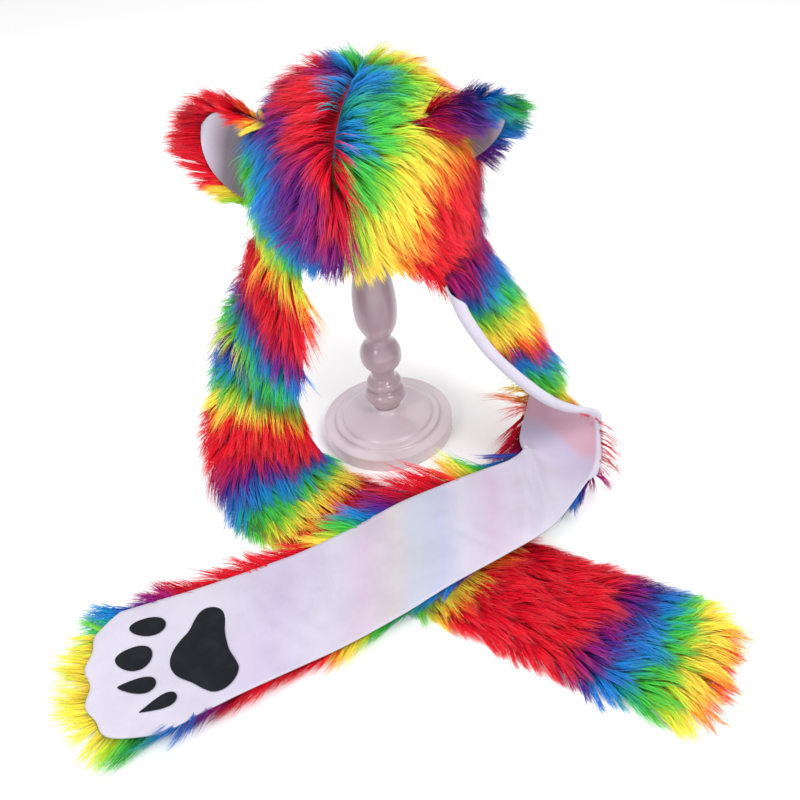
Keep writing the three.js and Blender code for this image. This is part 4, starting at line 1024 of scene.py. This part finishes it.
def arm_fur(arm, phase_of, edges, sizes, count, seed):
    chance = np.random.default_rng(seed)
    off = LINING_WALL + CLEARANCE + ROOTS_OVER

    def at_share(u, v):
        across = 2 * v - 1
        return arm.paw(u * (arm.run + ARM_TOP - 2 * MM) - ARM_TOP, across), across

    def skin(u, v, lift=off):
        run, across = at_share(u, v)
        return arm.point(run, across * arm.at(run)["half"], np.full(np.shape(u), lift))
    u, v, area = scattered(skin, count, chance, 300, 40, lambda u, v: thickness(arm, *at_share(u, v)))
    run, across = at_share(u, v)
    at, side, edge = arm.at(run), np.sign(across), np.abs(across) ** 4
    fringe = edges(run, side, np.where(side > 0, at["inner"], at["outer"]))
    give = np.minimum(1.5 * fringe, 1)
    lean = side * edge * EDGE_LEAN * give
    end = np.clip((run - arm.run + PAW_FALL) / PAW_FALL, 0, 1) ** 2 * PAW_LEAN
    normal = at["out"] * np.cos(lean)[:, None] + at["across"] * np.sin(lean)[:, None]
    normal = unit(normal * np.cos(end)[:, None] + at["along"] * np.sin(end)[:, None])
    fan = side * np.abs(across) ** 3 * np.radians(fanned(arm, run, side)) * give
    flow = level(at["along"] * np.cos(fan)[:, None] + at["across"] * np.sin(fan)[:, None], normal)
    fringe_length = np.interp(fringe, (0, 0.25, 1, 1.4, 1.9), (0.12, 0.55, 1.15, 1.5, 1.8))
    bed = dict(
        root=arm.point(run, across * at["half"], np.full(count, off)), normal=normal, flow=flow, area=area,
        length=sizes.pile_length * (1 - edge + edge * fringe_length), sag=0.1,
        rise=np.clip(0.34 * at["pile"], 0.12, 0.6) + 0.3 * np.clip(fringe - 1, 0, 1) * edge,
    )
    if arm is LEFT:
        past = past_fold(run, across)
        outward = soft_step(across, -0.6, 0.4)
        heaped = FOLD_HEAP * np.exp(-np.abs(past) / 0.022) * (past < 0) * (0.3 + 0.7 * outward)
        bed["root"] = bed["root"] + at["out"] * heaped[:, None]
        # Painted shadow under the fold: strands just past it, most towards the inner edge, darken towards
        # their roots and take the lowest shade.
        bed["dark"] = np.exp(-(((past - 0.014) / 0.018) ** 2)) * outward
        bed["lid"] = under_arm(RIGHT)
    else:
        bed["drift"] = 0.1 * soft_step(run, arm.run - 0.03, arm.run)
        turned = soft_step(run, *TURNING) * (1 - soft_step(run, *TURNED)) * soft_step(-across, 0.1, 0.5)
        inside = (across > OUTER_BAND) | (run < TURN_FRINGE[0])
        bed["length"] = bed["length"] * (1 - 0.7 * turned * inside)
    shift = bed["length"] * (0.12 + 0.5 * soft_step(run, arm.run - 0.05, arm.run))
    bed["phase"] = phase_of(run + shift * np.cos(fan), across + shift * np.sin(fan) / at["half"])
    u, v = shares(260, 24)
    net, net_phase = skin(u, v, off - BACKING_UNDER), phase_of(*at_share(u, v))
    return grown_piece(bed, sizes, seed, net, net_phase, spacing=6 * MM, clumped=(0.35, 0.8))


# The lid over the lower arm's strands: its gap, its first run and step, how it rises beside the upper arm,
# the part of the table that it looks at and how many points it takes at once.
LID_GAP, LID_START, LID_STEP, LID_SLOPE = 4 * MM, 0.2, 0.004, 2.5
LID_ASIDE, LID_FRONT, LID_BATCH = 0.45, -0.05, 4000


def under_arm(arm):
    """Keeps strands below the lining of the arm that lies over them."""
    runs = np.arange(LID_START, arm.run, LID_STEP)
    at = arm.at(runs)

    def lid(points):
        flat = points.reshape(-1, 3).copy()
        near = np.nonzero((np.abs(flat[:, 0]) < LID_ASIDE) & (flat[:, 1] < LID_FRONT))[0]
        for part in np.array_split(near, max(len(near) // LID_BATCH, 1)):
            gaps = np.linalg.norm(flat[part, None, :2] - at["centre"][None, :, :2], axis=-1)
            k = gaps.argmin(axis=1)
            aside = ((flat[part] - at["centre"][k]) * at["across"][k]).sum(-1)
            half = at["half"][k]
            roof = arm.point(runs[k], np.clip(aside, -half, half), np.zeros(len(part)))[:, 2] - LID_GAP
            beyond = np.maximum(gaps.min(axis=1) - half, 0)
            flat[part, 2] = np.minimum(flat[part, 2], roof + LID_SLOPE * beyond)
        return flat.reshape(points.shape)
    return lid


def ear_fur(name, sizes, count, seed):
    chance = np.random.default_rng(seed)
    matrix, pile = ear_matrix(name), EAR_PILE[name]
    turn = np.array(matrix.to_3x3())
    columns = np.linspace(-1, 1, 41)
    start = ear_start(matrix, columns, FUR_CLEAR)

    def local(u, v, off=EAR_ROOTS):
        across = 2 * v - 1
        low = np.interp(across, columns, start)
        return ear_point(low + (1 - low) * u, across, 2 * MM, off)
    u, v, area = scattered(
        lambda u, v: placed(matrix, local(u, v)), count, chance, 40, 40, lambda u, v: np.ones(u.shape)
    )
    hanging = chance.random(count) < pile["hanging"]
    v = np.where(hanging, 0.5 + pile["top"] * (0.5 - pile["band"] * chance.random(count)), v)
    point = local(u, v, np.where(hanging, -0.5 * MM, EAR_ROOTS))
    step = 0.004
    du = local(np.minimum(u + step, 1), v) - local(np.maximum(u - step, 0), v)
    dv = local(u, np.minimum(v + step, 1)) - local(u, np.maximum(v - step, 0))
    normal = unit(np.cross(dv, du))
    normal = normal * np.sign(normal[:, 2:])
    ahead = np.maximum(point[:, 1], 0)
    aim = unit(np.stack([point[:, 0] * pile["wide"], ahead * 0.8 + 0.025, np.zeros(count)], 1))
    edge = np.clip(np.hypot(point[:, 0] / (EAR_WIDTH / 2), ahead / EAR_LENGTH), 0, 1) ** 3
    normal = unit(normal * (1 - 0.5 * edge)[:, None] + aim * (0.5 * edge)[:, None])
    normal = np.where(hanging[:, None], (0, 0, -1.0), normal)
    flow = level(np.where(hanging[:, None], (-pile["top"] * pile["inward"], 1, 0), aim), normal)
    share = np.where(hanging | (u < 0.15), pile["low_length"], pile["length"])
    bed = dict(
        root=placed(matrix, point), normal=normal @ turn.T, flow=flow @ turn.T, area=area, sag=0.08,
        length=sizes.pile_length * share, rise=np.where(hanging, 0.2, 0.38),
    )
    bed["phase"] = np.interp(placed(matrix.inverted(), dyed_at(bed))[:, 1] / MM, *pile["dye"])
    u, v = shares(30, 30)
    low = np.interp(2 * v - 1, columns, start) * (1 - u)
    net = ear_point(low + 0.985 * u, 0.97 * (2 * v - 1), 0, LINING_WALL + 0.6 * MM)
    back = np.interp(net[..., 1] / MM, (-30, 62), pile["backing"])
    return grown_piece(bed, sizes, seed, placed(matrix, net), back)


# The sizes and colours that a user would change

def colour_property(name, description, value):
    return FloatVectorProperty(
        name=name, description=description, default=value, subtype="COLOR_GAMMA", size=3, min=0, max=1
    )


def share_property(name, description, value, least=0, most=1):
    return FloatProperty(
        name=name, description=description, default=value, min=least, max=most, subtype="FACTOR"
    )


class HoodPileSettings(bpy.types.PropertyGroup):
    pile_length: FloatProperty(
        name="Pile length", description="Length of the long pile", default=0.042, min=0.01, max=0.06,
        unit="LENGTH",
    )
    strand_width: FloatProperty(
        name="Strand width", description="Width of one strand of the pile", default=0.00066, min=0.0002,
        max=0.003, unit="LENGTH",
    )
    strand_count: IntProperty(
        name="Strands", description="Strands on each arm and on each half of the hood", default=31000,
        min=1000, max=36000,
    )
    root_shade: share_property("Root shade", "How dark the pile is at its roots", 0.65)
    tip_light: share_property("Tip light", "How much the tips of the pile fade to white", 0.05)
    red: colour_property("Red", "Dye of the red bands", (0.92, 0.05, 0.16))
    orange: colour_property("Orange", "Dye of the orange bands", (1.0, 0.45, 0.1))
    yellow: colour_property("Yellow", "Dye of the yellow bands", (1.0, 0.9, 0.3))
    lime: colour_property("Lime", "Dye between yellow and green", (0.72, 0.9, 0.2))
    green: colour_property("Green", "Dye of the green bands", (0.28, 0.8, 0.28))
    teal: colour_property("Teal", "Dye between green and blue", (0.08, 0.64, 0.66))
    blue: colour_property("Blue", "Dye of the blue bands", (0.1, 0.52, 0.85))
    indigo: colour_property("Indigo", "Dye between blue and purple", (0.22, 0.2, 0.62))
    purple: colour_property("Purple", "Dye of the purple bands", (0.44, 0.1, 0.54))
    magenta: colour_property("Magenta", "Dye between purple and crimson", (0.7, 0.08, 0.4))
    crimson: colour_property("Crimson", "Dye between magenta and red", (0.8, 0.04, 0.18))


class HoodPlushSettings(bpy.types.PropertyGroup):
    plush: colour_property("Plush", "Colour of the white lining", (0.775, 0.76, 0.82))
    plush_shadow: colour_property("Plush shadow", "Tone in the hollows of the nap", (0.745, 0.73, 0.79))
    # How strongly the stops show: dye that shows through, and the painted shade of the ear cups and of the
    # right arm's turn.
    bleed_and_shade: share_property("Bleed", "How much dye shows through the lining", 0.75)
    pad: colour_property("Pads", "Colour of the paw pads", (0.075, 0.09, 0.115))


class HatStandSettings(bpy.types.PropertyGroup):
    paint: colour_property("Paint", "Colour of the stand's post and head", (0.765, 0.675, 0.705))
    # The foot's paint is the stand's paint made lighter: painted light, for the foot that lies in more light
    # than the post and head.
    lit_foot_paint: colour_property("Foot paint", "Colour of the stand's foot", (0.885, 0.825, 0.85))
    roughness: share_property("Roughness", "Roughness of the paint", 0.3, 0.1, 0.9)


# Tints that show through the linings: their colours, and their stops along each arm in millimetres. The rose
# tint is pink dye together with painted shade, darker, on the hollow where the right arm's plush turns over.
TINTS = {
    "white": (1, 1, 1), "pink": (1, 0.91, 0.95), "blue": (0.9, 0.94, 1), "mint": (0.91, 0.98, 0.97),
    "cream": (1, 0.98, 0.92), "shaded_rose": (1.0, 0.76, 0.78), "lilac": (0.95, 0.91, 0.99),
}
RIGHT_TINTS = (
    (120, "white"), (160, "shaded_rose"), (256, "shaded_rose"), (268, "lilac"), (310, "white"), (350, "white"),
    (395, "pink"), (430, "white"), (455, "blue"), (488, "mint"), (512, "cream"), (545, "pink"),
    (580, "white"), (640, "lilac"), (700, "white"),
)
LEFT_TINTS = (200, "pink"), (400, "blue"), (700, "white")
# Painted shade in the ear cups' hollows: the plush darkens from near the tip towards the root, along the
# cup's map.
CUP_PAINTED_SHADE = (
    (0.0, (0.36, 0.27, 0.28)), (0.5, (0.42, 0.32, 0.34)), (0.74, (0.85, 0.77, 0.8)), (0.92, TINTS["white"]),
)
TINT_START, TINT_SPAN, RIGHT_SLANT = 26, 799, -0.085

# The camera, and each light's place, size and power. The lights look at one place.
CAMERA_PLACE, CAMERA_DIP, LENS, SENSOR, SHIFT = (0.14045, -0.738584, 0.674162), 40.423, 35.286, 36, -0.125
LIGHTS = (
    ((1.0, -0.8, 1.7), 0.7, 21), ((-1.4, -0.6, 1.4), 1.2, 6), ((0.2, 1.3, 1.8), 1.6, 8),
    ((-0.55, -1.1, 0.8), 0.3, 3.5),
)
LIT_PLACE, WORLD_LIGHT = (0, -0.15, 0.2), 0.8


class OBJECT_OT_hood_stage(bpy.types.Operator):
    """Sets up the camera, the lights and the floor"""
    bl_idname = "object.hood_stage"
    bl_label = "Stage"

    def execute(self, context):
        bpy.ops.object.camera_add(location=CAMERA_PLACE, rotation=(math.radians(90 - CAMERA_DIP), 0, 0))
        camera = context.object
        camera.data.lens, camera.data.sensor_width, camera.data.shift_x = LENS, SENSOR, SHIFT
        context.scene.camera = camera
        nothing_selected()
        bpy.ops.mesh.primitive_plane_add(size=12)
        floor = context.object
        floor.name = "floor"
        floor.data.materials.append(Sheet("floor_paper").finish({
            "Base Color": (0.97, 0.97, 0.97), "Roughness": 0.9, "Specular IOR Level": 0.1,
            "Emission Color": (1.0, 1.0, 1.0), "Emission Strength": 0.1,
        }))
        for place, size, power in LIGHTS:
            bpy.ops.object.light_add(type="AREA", location=place)
            light = context.object
            light.data.size, light.data.energy = size, power
            light.rotation_euler = (Vector(LIT_PLACE) - Vector(place)).to_track_quat("-Z", "Y").to_euler()
        world = bpy.data.worlds.new("studio")
        world.use_nodes = True
        background = world.node_tree.nodes["Background"]
        background.inputs[0].default_value, background.inputs[1].default_value = (1, 1, 1, 1), WORLD_LIGHT
        context.scene.world = world
        context.scene.view_settings.view_transform = "Standard"
        return {"FINISHED"}


class OBJECT_OT_hood_stand(bpy.types.Operator):
    """Turns the painted hat stand"""
    bl_idname = "object.hood_stand"
    bl_label = "Hat Stand"

    def execute(self, context):
        settings = context.scene.hat_stand
        paint = paint_material("stand_paint", settings.paint, settings.roughness)
        # The foot takes the lighter copy of the paint, as painted light.
        lit_foot_paint = paint_material("stand_foot_lit_paint", settings.lit_foot_paint, settings.roughness)
        post = FOOT_HEIGHT + CLEARANCE
        for name, node, profile, radius, height, bottom, material in (
            ("stand_foot_turned", "stand_base", FOOT, FOOT_RADIUS, FOOT_HEIGHT, 0, lit_foot_paint),
            ("stand_post_turned", "stand_post", POST, POST_RADIUS, POST_HEIGHT, post, paint),
            ("stand_head_turned", "stand_head", HEAD, HEAD_RADIUS, HEAD_HEIGHT, HEAD_FOOT, paint),
        ):
            obj = turning(smooth_profile(profile, radius, height), bottom)
            finished(obj, name, material, "stand_paint", node)
        return {"FINISHED"}


class OBJECT_OT_hood_linings(bpy.types.Operator):
    """Lays the white plush in the hood, the ears and the arms"""
    bl_idname = "object.hood_linings"
    bl_label = "Plush Linings"

    def execute(self, context):
        settings = context.scene.hood_plush
        plain = plush_material("plush", settings)
        obj = finished(hood_lining(), "hood_plush", plain, "plush", "hood_lining")
        # The ears' plush carries painted shade in its cups.
        shaded = plush_material("plush_ear_painted_shade", settings, CUP_PAINTED_SHADE)
        for name in EARS:
            obj = finished(ear_lining(name), f"ear_plush_{name}", shaded, "plush", f"ear_lining_{name}")
        for name, arm, tints, slant in (
            ("right", RIGHT, RIGHT_TINTS, RIGHT_SLANT), ("left", LEFT, LEFT_TINTS, 0.0),
        ):
            # The arms' stops: tints, and on the right arm painted shade where it turns over.
            tint_and_shade = [((run - TINT_START) / TINT_SPAN, TINTS[tint]) for run, tint in tints]
            tinted_and_shaded = plush_material(f"plush_arm_{name}", settings, tint_and_shade, slant)
            obj = arm_lining(arm, arm is RIGHT)
            finished(obj, f"arm_plush_{name}", tinted_and_shaded, "plush", f"arm_lining_{name}")
        return {"FINISHED"}


class OBJECT_OT_hood_pads(bpy.types.Operator):
    """Sews the black pads on both paws"""
    bl_idname = "object.hood_pads"
    bl_label = "Paw Pads"

    def execute(self, context):
        felt = pad_material(context.scene.hood_plush)
        for side, arm in (("right", RIGHT), ("left", LEFT)):
            finished(pad(arm, main_outline()), f"main_patch_{side}", felt, "pad_cloth", f"main_pad_{side}")
            for k, toe in enumerate(TOES, 1):
                patch = pad(arm, toe_outline(*toe))
                finished(patch, f"toe_patch_{side}_{k}", felt, "pad_cloth", f"toe_pad_{side}_{k}")
        return {"FINISHED"}


class OBJECT_OT_hood_fur(bpy.types.Operator):
    """Grows the long rainbow pile on the hood, the ears and the arms"""
    bl_idname = "object.hood_fur"
    bl_label = "Rainbow Pile"

    def execute(self, context):
        settings = context.scene.hood_pile
        dyed = fur_material(settings)
        count = settings.strand_count
        for name, side, node_slot, seed in (("left", -1, "fur_red", 11), ("right", 1, "fur_blue", 12)):
            pile = hood_fur(side, settings, count, seed)
            finished(pile, f"hood_fur_{name}", dyed, node_slot, f"hood_panel_{name}")
        for name, arm, phase_of, edges, node_slot, seed in (
            ("right", RIGHT, right_phase, right_edges, "fur_yellow", 13),
            ("left", LEFT, left_phase, left_edges, "fur_red", 14),
        ):
            pile = arm_fur(arm, phase_of, edges, settings, count, seed)
            finished(pile, f"arm_pile_{name}", dyed, node_slot, f"arm_fur_{name}")
        for name, node_slot, seed in (("left", "fur_red", 15), ("right", "fur_blue", 16)):
            pile = ear_fur(name, settings, count * 3 // 10, seed)
            finished(pile, f"ear_pile_{name}", dyed, node_slot, f"ear_fur_{name}")
        return {"FINISHED"}


OPERATORS = (
    OBJECT_OT_hood_stage, OBJECT_OT_hood_stand, OBJECT_OT_hood_linings, OBJECT_OT_hood_pads,
    OBJECT_OT_hood_fur,
)


class VIEW3D_PT_hood_scarf(bpy.types.Panel):
    """Sizes, colours and steps of the hood scarf"""
    bl_label = "Hood Scarf"
    bl_idname = "VIEW3D_PT_hood_scarf"
    bl_space_type = "VIEW_3D"
    bl_region_type = "UI"
    bl_category = "Hood Scarf"

    def draw(self, context):
        for group in (context.scene.hood_pile, context.scene.hood_plush, context.scene.hat_stand):
            box = self.layout.box()
            for name in group.bl_rna.properties.keys():
                if name not in ("rna_type", "name"):
                    box.prop(group, name)
        for operator in OPERATORS:
            self.layout.operator(operator.bl_idname)


CLASSES = (HoodPileSettings, HoodPlushSettings, HatStandSettings, *OPERATORS, VIEW3D_PT_hood_scarf)


def register():
    for cls in CLASSES:
        bpy.utils.register_class(cls)
    bpy.types.Scene.hood_pile = PointerProperty(type=HoodPileSettings)
    bpy.types.Scene.hood_plush = PointerProperty(type=HoodPlushSettings)
    bpy.types.Scene.hat_stand = PointerProperty(type=HatStandSettings)


def unregister():
    for name in ("hood_pile", "hood_plush", "hat_stand"):
        delattr(bpy.types.Scene, name)
    for cls in reversed(CLASSES):
        bpy.utils.unregister_class(cls)


def main():
    register()
    bpy.ops.object.hood_stage()
    bpy.ops.object.hood_stand()
    bpy.ops.object.hood_linings()
    bpy.ops.object.hood_pads()
    bpy.ops.object.hood_fur()


if __name__ == "__main__":
    main()
